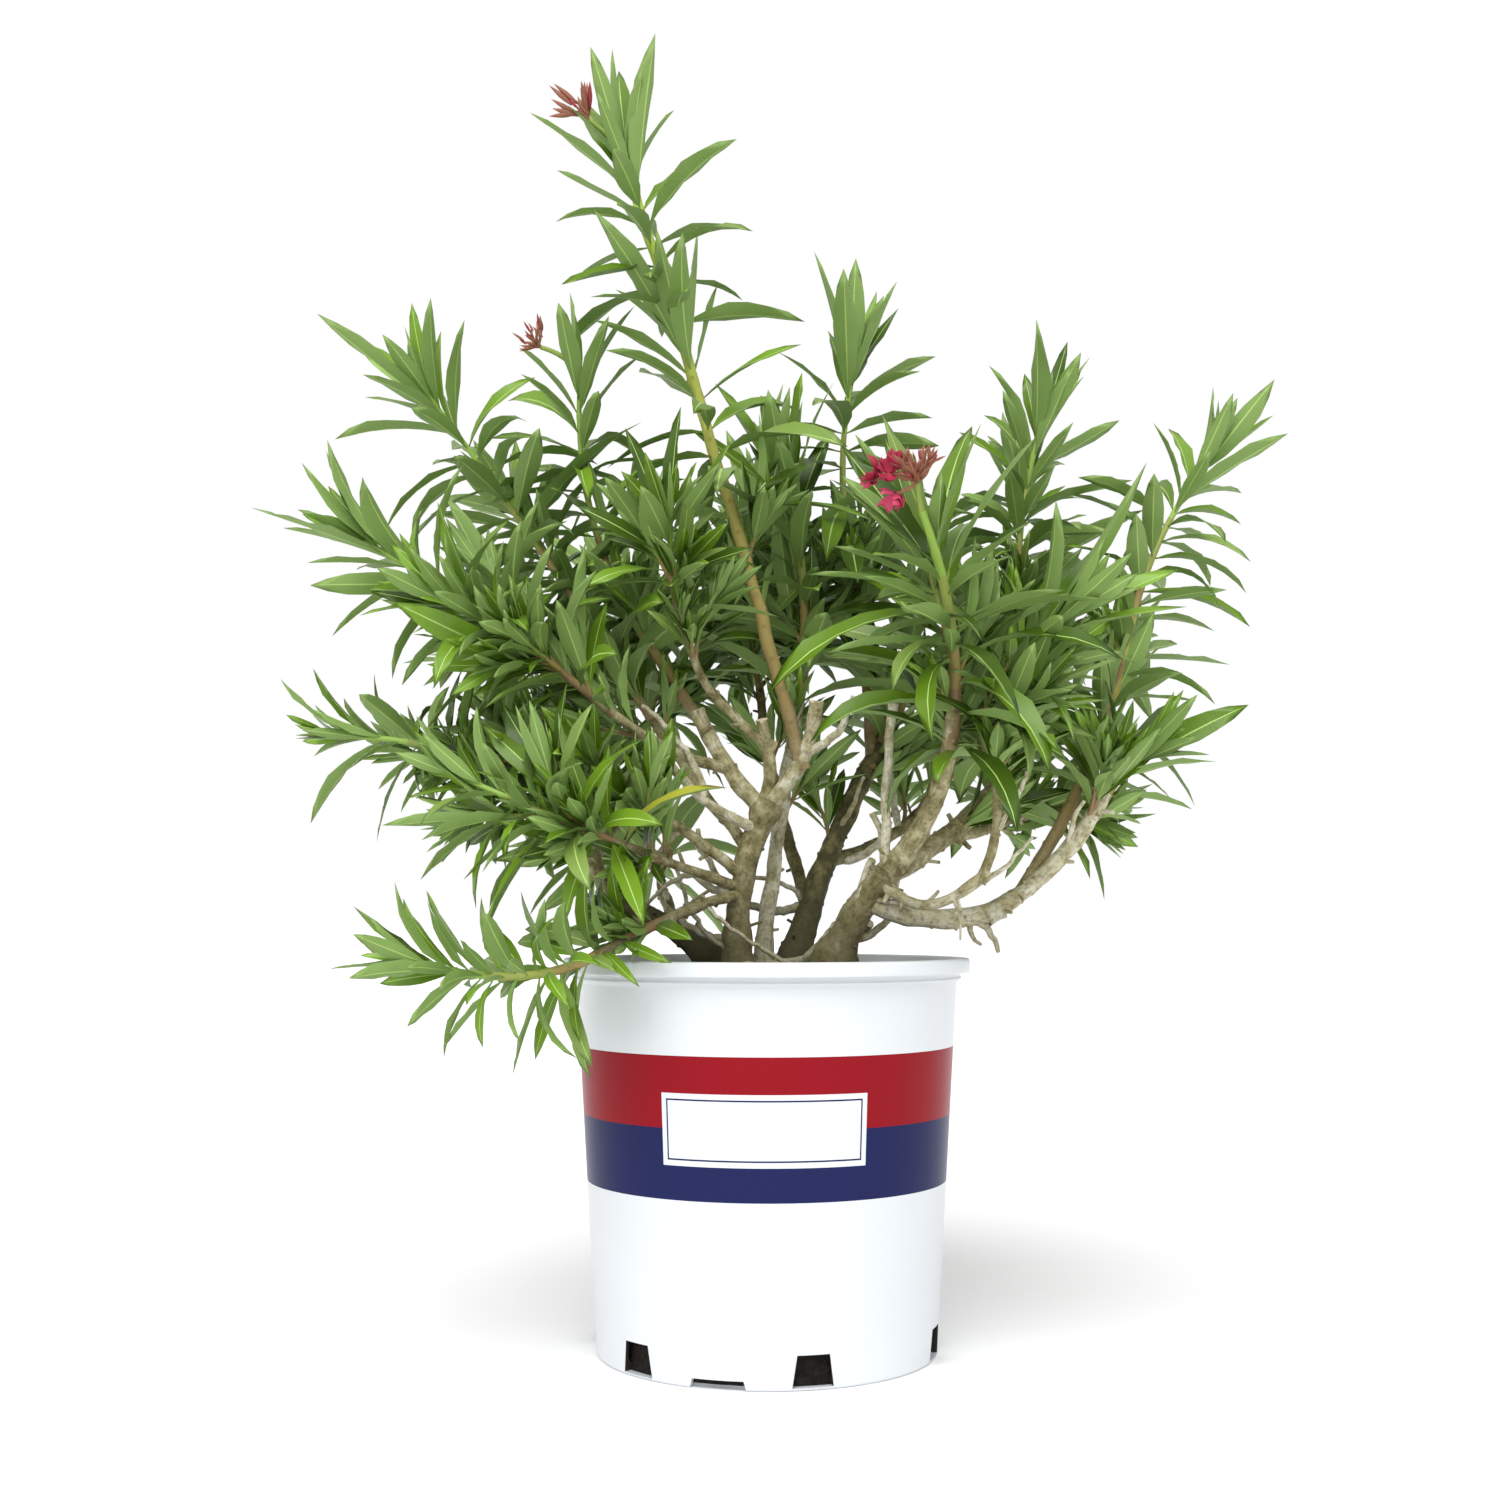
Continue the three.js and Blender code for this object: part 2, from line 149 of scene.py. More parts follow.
def shape_tree(name, inputs):
    """A geometry tree with the given named inputs. Returns the tree and its input sockets."""
    tree = bpy.data.node_groups.new(name, "GeometryNodeTree")
    tree.interface.new_socket("Geometry", in_out="OUTPUT", socket_type="NodeSocketGeometry")
    tree.interface.new_socket("Geometry", in_out="INPUT", socket_type="NodeSocketGeometry")
    for label, (kind, default) in inputs.items():
        socket = tree.interface.new_socket(label, in_out="INPUT", socket_type="NodeSocket" + kind)
        if default is not None:
            socket.default_value = default
    return tree, add(tree, "NodeGroupInput").outputs


def finish_shape(tree, geometry, materials):
    """Ends a tree: real geometry, smooth, with each (material, selection) painted on in turn."""
    geometry = add(tree, "GeometryNodeRealizeInstances", {"Geometry": geometry})
    geometry = add(tree, "GeometryNodeSetShadeSmooth", {"Geometry": geometry})
    for material, selection in materials:
        inputs = {"Geometry": geometry, "Material": material}
        if selection is not None:
            inputs["Selection"] = selection
        geometry = add(tree, "GeometryNodeSetMaterial", inputs)
    add(tree, "NodeGroupOutput", {"Geometry": geometry})


VALUE_SLOTS = {"FLOAT": "value", "INT": "value", "FLOAT_VECTOR": "vector", "QUATERNION": "value"}


def mesh_of(name, points, edges=(), faces=(), attributes=None):
    """A mesh with point attributes, each given as (type, values)."""
    mesh = bpy.data.meshes.new(name)
    mesh.from_pydata([tuple(p) for p in points], edges, faces)
    for label, (kind, values) in (attributes or {}).items():
        layer = mesh.attributes.new(label, kind, "POINT")
        values = np.asarray(values, np.int32 if kind == "INT" else np.float32)
        layer.data.foreach_set(VALUE_SLOTS[kind], values.ravel())
    return mesh


def face_outward(mesh):
    """Turns every face of a closed mesh outward."""
    shell = bmesh.new()
    shell.from_mesh(mesh)
    bmesh.ops.recalc_face_normals(shell, faces=shell.faces)
    shell.to_mesh(mesh)
    shell.free()


def placed(name, mesh):
    """A new object at the origin that shows the mesh."""
    piece = bpy.data.objects.new(name, mesh)
    bpy.context.scene.collection.objects.link(piece)
    return piece


def shaped(name, mesh, tree, values):
    """Runs a geometry tree over a mesh and returns an object with the plain mesh that it makes."""
    piece = placed(name, mesh)
    modifier = piece.modifiers.new(tree.name, "NODES")
    modifier.node_group = tree
    sockets = {item.name: item.identifier for item in tree.interface.items_tree
               if item.in_out == "INPUT"}
    for label, value in values.items():
        modifier[sockets[label]] = value
    return settled(piece)


def settled(piece):
    """Turns what the modifiers make into the object's own mesh, and removes them."""
    graph = bpy.context.evaluated_depsgraph_get()
    mesh = bpy.data.meshes.new_from_object(
        piece.evaluated_get(graph), preserve_all_data_layers=True, depsgraph=graph)
    if not len(mesh.polygons):
        raise RuntimeError(f"{piece.name} came out with no faces")
    piece.modifiers.clear()
    piece.data = mesh
    mesh.name = piece.name
    return piece


def attach(piece, slot, *nodes):
    """Makes a finished piece part of the object, in place of the CAD nodes it stands for."""
    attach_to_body(piece, "root")
    if nodes:
        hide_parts(*nodes)
    return piece


# ---------------------------------------------------------------- the frame's limbs and masses

SOIL_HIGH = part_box("soil")[1]
POT_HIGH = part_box("pot")[1]
SOIL_MIDDLE = np.array((0.0, 0.0, SOIL_HIGH.z))
POT_HEIGHT = POT_HIGH.z
RIM_RADIUS = POT_HIGH.x

MASSES = sorted(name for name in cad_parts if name.endswith("_leaves"))
LIMBS = sorted(set(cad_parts) - set(MASSES) - {"pot", "soil"})


def unit(vector):
    """The vector's direction, one unit long."""
    return vector / max(np.linalg.norm(vector), 1e-12)


def smooth_step(value, low, high):
    """A share that eases from 0 at the low value to 1 at the high one."""
    share = min(max((value - low) / (high - low), 0.0), 1.0)
    return share * share * (3 - 2 * share)


def blend(first, second, share):
    """The value that lies a share of the way from the first to the second."""
    return first + (second - first) * share


def solid(node):
    """The corners and the triangles of a CAD node."""
    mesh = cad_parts[node].data
    points = np.empty(3 * len(mesh.vertices), np.float32)
    mesh.vertices.foreach_get("co", points)
    mesh.calc_loop_triangles()
    corners = np.empty(3 * len(mesh.loop_triangles), np.int32)
    mesh.loop_triangles.foreach_get("vertices", corners)
    return points.reshape(-1, 3).astype(float), corners.reshape(-1, 3)


def cut_through(points, triangles, origin, normal):
    """The middle of a plane's cut through a solid, and the radius of a circle as long as its outline."""
    starts = points[triangles]
    ends = np.roll(starts, -1, axis=1)
    before = (starts - origin) @ normal
    after = (ends - origin) @ normal
    crossed = (before > 0) != (after > 0)
    share = before[crossed] / (before[crossed] - after[crossed])
    spots = starts[crossed] + share[:, None] * (ends[crossed] - starts[crossed])
    pairs = spots.reshape(-1, 2, 3)
    lengths = np.linalg.norm(pairs[:, 0] - pairs[:, 1], axis=1)
    middle = (pairs.mean(axis=1) * lengths[:, None]).sum(axis=0) / lengths.sum()
    return middle, lengths.sum() / FULL_TURN


FEWEST_POINTS = 4


@dataclass
class Strand:
    """A limb or a shoot: its middle line, foot first, and at each point its radius and its age.

    The age runs from 0, old grey wood, to 1, this year's green stem.
    """
    name: str
    line: np.ndarray
    girth: np.ndarray
    age: np.ndarray = field(default_factory=lambda: np.zeros(1))

    @property
    def run(self):
        """The distance of each point from the foot, along the line."""
        steps = np.linalg.norm(np.diff(self.line, axis=0), axis=1)
        return np.concatenate(([0.0], np.cumsum(steps)))

    def at(self, distance):
        """The point and the direction at a distance from the foot."""
        run = self.run
        point = np.array([np.interp(distance, run, self.line[:, axis]) for axis in range(3)])
        step = min(max(int(np.searchsorted(run, distance)), 1), len(run) - 1)
        return point, unit(self.line[step] - self.line[step - 1])

    def even(self, spacing):
        """The same strand with its points evenly spaced."""
        run = self.run
        fine = np.linspace(0, run[-1], max(FEWEST_POINTS, int(run[-1] / spacing) + 1))
        line = np.stack([np.interp(fine, run, self.line[:, axis]) for axis in range(3)], axis=1)
        age = np.interp(fine, run, np.broadcast_to(self.age, run.shape))
        return Strand(self.name, line, np.interp(fine, run, self.girth), age)


# Each limb's solid is cut at these shares of its length, and a smooth line runs through the cuts. A
# limb that forks from another starts a socket's depth inside it.
CUT_SHARES = np.linspace(0.1, 0.96, 11)
LINE_DEGREE = 3
LINE_POINTS = 40
SOCKET = 3 * MM


def read_limb(node):
    """The strand of a limb, from cuts through its CAD solid."""
    points, triangles = solid(node)
    middle = points.mean(axis=0)
    axis = np.linalg.svd(points - middle, full_matrices=False)[2][0]
    reach = (points - middle) @ axis
    foot, tip = middle + axis * reach.min(), middle + axis * reach.max()
    if np.linalg.norm(tip - SOIL_MIDDLE) < np.linalg.norm(foot - SOIL_MIDDLE):
        foot, tip, axis = tip, foot, -axis
    cuts = [cut_through(points, triangles, foot + (tip - foot) * share, axis) for share in CUT_SHARES]
    middles = np.array([cut[0] for cut in cuts])
    shares = np.linspace(0, 1, LINE_POINTS)
    line = np.stack([np.polyval(np.polyfit(CUT_SHARES, middles[:, n], LINE_DEGREE), shares)
                     for n in range(3)], axis=1)
    girth = np.interp(shares, CUT_SHARES, [cut[1] for cut in cuts])
    if foot[2] > SOIL_HIGH.z:
        back = line[0] + unit(line[0] - line[1]) * (girth[0] + SOCKET)
        line = np.vstack((back, line))
        girth = np.concatenate((girth[:1], girth))
    return Strand(node, line, girth)


def limb_of(mass):
    """The limb that a mass grows on: the longest limb name that the mass's own name starts with."""
    return max((limb for limb in LIMBS if mass.startswith(limb + "_")), key=len)


LIMB_STRANDS = {node: read_limb(node) for node in LIMBS}


# ---------------------------------------------------------------- settings

class PotSettings(bpy.types.PropertyGroup):
    """Sizes and colours of the nursery pot."""
    foot_radius: FloatProperty(
        name="Foot radius", description="Outside radius at the floor", unit="LENGTH", default=120.3 * MM)
    shoulder_radius: FloatProperty(
        name="Shoulder radius", description="Outside radius under the neck", unit="LENGTH",
        default=136.5 * MM)
    neck_radius: FloatProperty(
        name="Neck radius", description="Outside radius of the step under the rim", unit="LENGTH",
        default=139.5 * MM)
    rim_depth: FloatProperty(
        name="Rim depth", description="Height of the rolled rim", unit="LENGTH", default=10 * MM)
    neck_depth: FloatProperty(
        name="Neck depth", description="Height of the step under the rim", unit="LENGTH",
        default=5 * MM)
    wall: FloatProperty(
        name="Wall", description="Thickness of the moulded wall", unit="LENGTH", default=2.6 * MM)
    band_top: FloatProperty(
        name="Band top", description="Height of the red band's upper edge", unit="LENGTH",
        default=214.6 * MM)
    band_middle: FloatProperty(
        name="Band middle", description="Height where red meets navy", unit="LENGTH",
        default=167.2 * MM)
    band_bottom: FloatProperty(
        name="Band bottom", description="Height of the navy band's lower edge", unit="LENGTH",
        default=120.6 * MM)
    label_width: FloatProperty(
        name="Label width", description="Width of the bare label panel round the wall",
        unit="LENGTH", default=147 * MM)
    label_top: FloatProperty(
        name="Label top", description="Height of the label panel's upper edge", unit="LENGTH",
        default=190.3 * MM)
    label_bottom: FloatProperty(
        name="Label bottom", description="Height of the label panel's lower edge", unit="LENGTH",
        default=143.1 * MM)
    white: FloatVectorProperty(
        name="White", description="Colour of the moulded wall", subtype="COLOR", size=4,
        default=linear("#d4d8dc"))
    red: FloatVectorProperty(
        name="Red", description="Colour of the upper band", subtype="COLOR", size=4,
        default=linear("#8a131e"))
    navy: FloatVectorProperty(
        name="Navy", description="Colour of the lower band", subtype="COLOR", size=4,
        default=linear("#202450"))


class GrowthSettings(bpy.types.PropertyGroup):
    """The branching rule that fills the masses with shoots and leaves."""
    seed: IntProperty(name="Seed", description="Start of the chance draws", default=7, min=1)
    room: FloatProperty(
        name="Room", description="Litres of foliage mass for each side shoot", default=0.225, min=0.05)
    low_twigs: IntProperty(
        name="Low twigs", description="Short leafy twigs on each bough below its mass", default=3)
    overhang: FloatProperty(
        name="Overhang", description="How far the top leaves stand past a shoot's end",
        unit="LENGTH", default=68 * MM)
    spread_low: FloatProperty(
        name="Least spread", description="Smallest angle of a side shoot", subtype="ANGLE",
        default=math.radians(14))
    spread_high: FloatProperty(
        name="Most spread", description="Widest angle of a side shoot", subtype="ANGLE",
        default=math.radians(58))
    lift: FloatProperty(
        name="Lift", description="How much shoots turn up towards the light", default=0.3)
    shoot_radius: FloatProperty(
        name="Shoot radius", description="Radius of a side shoot's foot", unit="LENGTH",
        default=2.9 * MM)
    apex_radius: FloatProperty(
        name="Apex radius", description="Radius of a shoot's end", unit="LENGTH", default=1.7 * MM)


class LeafSettings(bpy.types.PropertyGroup):
    """Size and carriage of the leaves."""
    length: FloatProperty(
        name="Length", description="Length of a full-grown leaf", unit="LENGTH", default=88 * MM)
    width: FloatProperty(
        name="Width", description="Width of a full-grown leaf", unit="LENGTH", default=17.5 * MM)
    internode: FloatProperty(
        name="Internode", description="Distance between whorls on older stem", unit="LENGTH",
        default=15.5 * MM)
    top_internode: FloatProperty(
        name="Top internode", description="Distance between whorls at a shoot's end",
        unit="LENGTH", default=7 * MM)
    top_angle: FloatProperty(
        name="Top angle", description="Angle from the stem at a shoot's end", subtype="ANGLE",
        default=math.radians(13))
    low_angle: FloatProperty(
        name="Low angle", description="Angle from the stem on older stem", subtype="ANGLE",
        default=math.radians(68))
    rise: FloatProperty(
        name="Rise", description="How much the young leaves turn up to the light", default=0.18)
    arch: FloatProperty(
        name="Arch", description="How far an old leaf bends over", subtype="ANGLE",
        default=math.radians(47))
    fold: FloatProperty(
        name="Fold", description="How far the two halves fold up from the rib", subtype="ANGLE",
        default=math.radians(19))


class StageSettings(bpy.types.PropertyGroup):
    """Camera, floor and light."""
    distance: FloatProperty(
        name="Distance", description="From the pot's axis to the camera", unit="LENGTH",
        default=1345 * MM)
    height: FloatProperty(
        name="Height", description="Camera height over the floor", unit="LENGTH",
        default=306.5 * MM)
    shift_left: FloatProperty(
        name="Shift left", description="How far the camera stands left of the pot's axis",
        unit="LENGTH", default=11.9 * MM)
    pitch: FloatProperty(
        name="Pitch", description="How far the camera looks up", subtype="ANGLE",
        default=math.radians(5.1))
    lens: FloatProperty(
        name="Lens", description="Focal length in millimetres for a 36 mm sensor", default=44.4)


class OleanderSettings(bpy.types.PropertyGroup):
    """All the settings of the plant, its pot and its stage."""
    pot: PointerProperty(type=PotSettings)
    growth: PointerProperty(type=GrowthSettings)
    leaf: PointerProperty(type=LeafSettings)
    stage: PointerProperty(type=StageSettings)


# ---------------------------------------------------------------- pot

RIM_ROUND = 2.2 * MM
FOOT_ROUND = 2.2 * MM
STEP_ROUND = 1.2 * MM
ROUND_STEPS = 4
POT_COLUMNS = 240
RING_COUNT, RING_SPACING = 27, 9 * MM
# A shallow bead runs round the neck: how far each corner stands out, how far down the neck it is as
# a share of the neck, and its rounding.
NECK_BEAD = ((-0.4 * MM, 0.55, 1.0 * MM), (0.33 * MM, 0.7, 0.8 * MM))
NECK_DRAFT = 0.2 * MM
SHOULDER_DROP = 2 * MM
FLOOR_THICKNESS = 3 * MM
FLOOR_MIDDLE = 30 * MM
HEEL_HEIGHT = 10 * MM
HEEL_WIDTH = 7 * MM
INSIDE_ROUNDS = 3 * MM, 2 * MM, 1.5 * MM

# Openings through the foot of the wall. The headings are in degrees, and the widths are those of an
# opening's lower and upper edge.
DRAIN_COUNT, DRAIN_HEADING, DRAIN_SILL, DRAIN_HEIGHT = 6, 224, 2 * MM, 21 * MM
DRAIN_WIDTHS = 28 * MM, 22 * MM
DRAIN_REACH = 14 * MM
NOTCH_COUNT, NOTCH_HEADING, NOTCH_FOOT, NOTCH_HEIGHT = 3, 254, -1 * MM, 6.5 * MM
NOTCH_WIDTHS = 39 * MM, 35 * MM
NOTCH_REACH = 9 * MM

# How far in from the label's edge its keyline begins and ends, and how far the label is off centre.
LABEL_STEPS = 0.0, 3.6 * MM, 4.7 * MM
LABEL_OFFSET = 3 * MM
WHITE, RED, NAVY = range(3)
# Faces of the cutter: plain white, or painted near black as painted shade on the drains' jambs.
UNSHADED_FACE, SHADED_JAMB = range(2)
SHARP_EDGE = math.radians(50)


def rounded(corner, radius, before, after):
    """A quarter-round of points in place of a profile's corner."""
    corner, before, after = Vector(corner), Vector(before), Vector(after)
    start = corner + (before - corner).normalized() * radius
    end = corner + (after - corner).normalized() * radius
    shares = [n / ROUND_STEPS for n in range(ROUND_STEPS + 1)]
    return [tuple(start * (1 - s) ** 2 + corner * (2 * s * (1 - s)) + end * s * s) for s in shares]


def pot_profile(pot):
    """Radius and height down the outside, along the floor and up the inside, from the rim's top."""
    neck = POT_HEIGHT - pot.rim_depth
    shoulder = neck - pot.neck_depth
    widening = (pot.shoulder_radius - pot.foot_radius) / shoulder

    def wall(height):
        """The outside radius of the plain wall at a height."""
        return pot.foot_radius + widening * height

    corners = [
        (RIM_RADIUS, POT_HEIGHT, RIM_ROUND),
        (RIM_RADIUS, neck, STEP_ROUND),
        (pot.neck_radius, neck, STEP_ROUND),
        *[(pot.neck_radius + out, neck - share * pot.neck_depth, rounding)
          for out, share, rounding in NECK_BEAD],
        (pot.neck_radius - NECK_DRAFT, shoulder, STEP_ROUND),
        (wall(shoulder - SHOULDER_DROP), shoulder - SHOULDER_DROP, STEP_ROUND),
    ]
    heights = sorted({pot.band_top, pot.band_middle, pot.band_bottom,
                      *[pot.label_top - inset for inset in LABEL_STEPS],
                      *[pot.label_bottom + inset for inset in LABEL_STEPS],
                      *[n * RING_SPACING for n in range(1, RING_COUNT + 1)]}, reverse=True)
    corners += [(wall(h), h, 0) for h in heights if FOOT_ROUND < h < shoulder - 2 * SHOULDER_DROP]
    inside = wall(HEEL_HEIGHT) - pot.wall
    heel_round, shoulder_round, rim_round = INSIDE_ROUNDS
    corners += [
        (wall(0), 0.0, FOOT_ROUND),
        (FLOOR_MIDDLE, 0.0, 0),
        (FLOOR_MIDDLE, FLOOR_THICKNESS, 0),
        (inside - HEEL_WIDTH, FLOOR_THICKNESS, 0),
        (inside, HEEL_HEIGHT, heel_round),
        (pot.shoulder_radius - pot.wall, shoulder, shoulder_round),
        (pot.neck_radius - pot.wall, POT_HEIGHT, rim_round),
    ]
    profile = []
    for n, (radius, height, rounding) in enumerate(corners):
        before, after = corners[n - 1][:2], corners[(n + 1) % len(corners)][:2]
        if rounding:
            profile += rounded((radius, height), rounding, before, after)
        else:
            profile.append((radius, height))
    return profile


def pot_body(pot, materials):
    """The lathed wall with its bands and bare label panel as faces of their own material."""
    front = -math.pi / 2 - LABEL_OFFSET / pot.shoulder_radius
    edges = [(pot.label_width / 2 - inset) / pot.shoulder_radius for inset in LABEL_STEPS]
    angles = sorted({*[FULL_TURN * n / POT_COLUMNS for n in range(POT_COLUMNS)],
                     *[(front + side * edge) % FULL_TURN for edge in edges for side in (-1, 1)]})
    profile = pot_profile(pot)
    rings = len(profile)
    points = [(r * math.cos(a), r * math.sin(a), h) for a in angles for r, h in profile]
    middle_floor = len(points)
    points += [(0, 0, 0), (0, 0, FLOOR_THICKNESS)]
    below = profile.index((FLOOR_MIDDLE, 0.0))
    faces = []
    paints = []
    for column, angle in enumerate(angles):
        after = (column + 1) % len(angles)
        turn = angle + ((angles[after] - angle) % FULL_TURN) / 2 - front
        turn = (turn + math.pi) % FULL_TURN - math.pi
        here, there = column * rings, after * rings
        for ring in range(rings):
            lower = (ring + 1) % rings
            if ring == below:
                faces.append((here + ring, there + ring, middle_floor))
                faces.append((there + lower, here + lower, middle_floor + 1))
                paints += [WHITE, WHITE]
                continue
            faces.append((here + ring, here + lower, there + lower, there + ring))
            height = (profile[ring][1] + profile[lower][1]) / 2
            outside = ring < below
            paints.append(paint_at(pot, height, abs(turn) * pot.shoulder_radius) if outside else WHITE)
    mesh = mesh_of("pot_body", points, faces=faces)
    for material in materials:
        mesh.materials.append(material)
    mesh.polygons.foreach_set("material_index", paints)
    face_outward(mesh)
    return mesh


def paint_at(pot, height, off_centre):
    """The material of the outside wall. The bare label panel has a thin navy keyline."""
    inset = min(pot.label_width / 2 - off_centre, pot.label_top - height, height - pot.label_bottom)
    if inset > 0:
        return NAVY if LABEL_STEPS[1] < inset < LABEL_STEPS[2] else WHITE
    if pot.band_middle < height < pot.band_top:
        return RED
    if pot.band_bottom < height < pot.band_middle:
        return NAVY
    return WHITE


def wall_block(pot, heading, widths, bottom, top, reach):
    """A tapered block through the foot of the wall: its points and faces, to cut with."""
    low, high = widths
    outline = [(-low / 2, bottom), (low / 2, bottom), (high / 2, top), (-high / 2, top)]
    near, far = pot.foot_radius - reach, pot.foot_radius + reach
    points = [(x, r, z) for r in (near, far) for x, z in outline]
    turn = Matrix.Rotation(math.radians(heading - 90), 4, "Z")
    faces = [(0, 1, 2, 3), (7, 6, 5, 4), *[(n, n + 4, (n + 1) % 4 + 4, (n + 1) % 4) for n in range(4)]]
    return [turn @ Vector(p) for p in points], faces


def cutter_of(blocks, materials):
    """One object that holds every block, for a Boolean modifier. Only the drains' jambs are painted dark,
    painted shade.
    """
    points, faces = [], []
    for block_points, block_faces in blocks:
        faces += [tuple(n + len(points) for n in f) for f in block_faces]
        points += block_points
    mesh = mesh_of("cutter", points, faces=faces)
    for material in materials:
        mesh.materials.append(material)
    for face in mesh.polygons:
        upright = abs(face.normal.z) < 0.5
        # Upright faces above the notches are the drains' jambs, and they take the painted shade.
        face.material_index = SHADED_JAMB if upright and face.center.z > NOTCH_HEIGHT else UNSHADED_FACE
    face_outward(mesh)
    return placed("cutter", mesh)


def moulded_plastic(name, colour, roughness=0.3, shine=0.5):
    """Injection-moulded polypropylene: a soft gloss, with a very faint ripple from the mould."""
    return grained_material(name, 14 * MM, 0.12, 0.25 * MM, {
        "Base Color": colour, "Roughness": roughness, "IOR": 1.49, "Specular IOR Level": shine})


class OLEANDER_OT_pot(bpy.types.Operator):
    """Moulds the pot with its rim, bands, bare label panel, drain holes and notches"""
    bl_idname = "oleander.pot"
    bl_label = "Pot"

    def execute(self, context):
        pot = context.scene.oleander.pot
        # The film of the bands is less glossy than the wall. The drains' jambs are painted nearly black,
        # painted shade, so a drain looks like a dark hole from the side too.
        white = moulded_plastic("moulded_white_polypropylene", pot.white)
        red = moulded_plastic("in_mould_red_film", pot.red, shine=0.08)
        navy = moulded_plastic("in_mould_navy_film", pot.navy, shine=0.08)
        jamb_shade_paint = moulded_plastic("soil_stained_polypropylene", linear("#1c1813"), roughness=0.8)
        piece = placed("nursery_pot", pot_body(pot, (white, red, navy)))
        blocks = [wall_block(pot, DRAIN_HEADING + 360 / DRAIN_COUNT * n, DRAIN_WIDTHS, DRAIN_SILL,
                             DRAIN_SILL + DRAIN_HEIGHT, DRAIN_REACH) for n in range(DRAIN_COUNT)]
        blocks += [wall_block(pot, NOTCH_HEADING + 360 / NOTCH_COUNT * n, NOTCH_WIDTHS, NOTCH_FOOT,
                              NOTCH_HEIGHT, NOTCH_REACH) for n in range(NOTCH_COUNT)]
        cutter = cutter_of(blocks, (white, jamb_shade_paint))
        cut = piece.modifiers.new("drains", "BOOLEAN")
        cut.object = cutter
        cut.solver = "EXACT"
        cut.material_mode = "TRANSFER"
        settled(piece)
        bpy.data.objects.remove(cutter)
        piece.data.shade_smooth()
        piece.data.set_sharp_from_angle(angle=SHARP_EDGE)
        attach(piece, "pot_plastic", "pot")
        return {"FINISHED"}


# ---------------------------------------------------------------- soil

SOIL_RINGS = 26
SOIL_SIDE_RINGS = 22
SOIL_COLUMNS = 120
SOIL_GAP = 0.6 * MM
SOIL_DIP = 2.5 * MM
TOP_RELIEF, SIDE_RELIEF, FOOT_RELIEF = 3.2 * MM, 0.4 * MM, 0.2 * MM
LUMP_SIZE = 11 * MM
# The root ball's side runs down to this radius and height above the drains. Below a height the soil
# is painted darker: painted shade for the hollows seen through the drains.
BALL_FOOT = 116 * MM
ABOVE_DRAINS = 28 * MM
SHADE_BELOW = 60 * MM
# Radius and height in millimetres down the root ball's side, behind the drains and over their sills.
HOLLOW = ((114.8, 24), (113.8, 13), (113.5, 6), (115.5, 2.9), (115, 2.5))
CLOD_COUNT = 900
CLOD_SIZES = 1.0, 3.4
CLOD_EDGE = 8 * MM


def soil_point(radius, angle, height, relief):
    """A point of the soil, raised or lowered by fractal noise."""
    place = Vector((radius * math.cos(angle), radius * math.sin(angle), height))
    lump = noise.fractal(place / LUMP_SIZE, 0.9, 2.1, 4)
    return place + Vector((0, 0, 1)) * (relief * lump)


def soil_body():
    """The root ball: a lumpy top, rough sides, and a hollow behind each drain."""
    wall = SOIL_HIGH.x - SOIL_GAP
    top = SOIL_HIGH.z - SOIL_DIP
    profile = [(wall * (n / SOIL_RINGS), top, TOP_RELIEF) for n in range(1, SOIL_RINGS + 1)]
    for n in range(1, SOIL_SIDE_RINGS + 1):
        share = n / SOIL_SIDE_RINGS
        profile.append((blend(wall, BALL_FOOT, share), blend(top, ABOVE_DRAINS, share), SIDE_RELIEF))
    profile += [(radius * MM, height * MM, FOOT_RELIEF) for radius, height in HOLLOW]
    points = [(0, 0, top)]
    for column in range(SOIL_COLUMNS):
        angle = FULL_TURN * column / SOIL_COLUMNS
        points += [soil_point(radius, angle, height, relief) for radius, height, relief in profile]
    points.append((0, 0, HOLLOW[-1][1] * MM))
    rings = len(profile)
    faces = []
    for column in range(SOIL_COLUMNS):
        here = 1 + column * rings
        there = 1 + ((column + 1) % SOIL_COLUMNS) * rings
        faces.append((0, here, there))
        faces += [(here + n, here + n + 1, there + n + 1, there + n) for n in range(rings - 1)]
        faces.append((here + rings - 1, len(points) - 1, there + rings - 1))
    mesh = mesh_of("soil_body", points, faces=faces)
    mesh.materials.append(potting_mix("damp_potting_mix", "#17110c", "#5a4632"))
    # The second, darker paint is painted shade for the soil seen through the drains.
    mesh.materials.append(potting_mix("soaked_potting_mix", "#080605", "#261d15"))
    for face in mesh.polygons:
        face.material_index = int(face.center.z < SHADE_BELOW)
    return mesh


def potting_mix(name, dark, pale):
    """Damp peat and bark: dark, matt, with crumbs and paler fibres a few millimetres across."""
    material, tree = material_tree(name)
    place = add(tree, "ShaderNodeTexCoord").outputs["Object"]
    crumbs = add(tree, "ShaderNodeTexNoise", {"Vector": place, "Scale": 1 / (4 * MM), "Detail": 6.0})
    fibres = add(tree, "ShaderNodeTexVoronoi", {"Vector": place, "Scale": 1 / (3 * MM)})
    colour = add(tree, "ShaderNodeValToRGB", {"Fac": crumbs})
    set_stops(colour, ((0.35, dark), (0.75, pale)))
    bump = add(tree, "ShaderNodeBump", {"Height": fibres, "Strength": 0.8, "Distance": 1.5 * MM})
    finish_material(tree, {"Base Color": colour, "Roughness": 0.95, "IOR": 1.4, "Normal": bump})
    return material


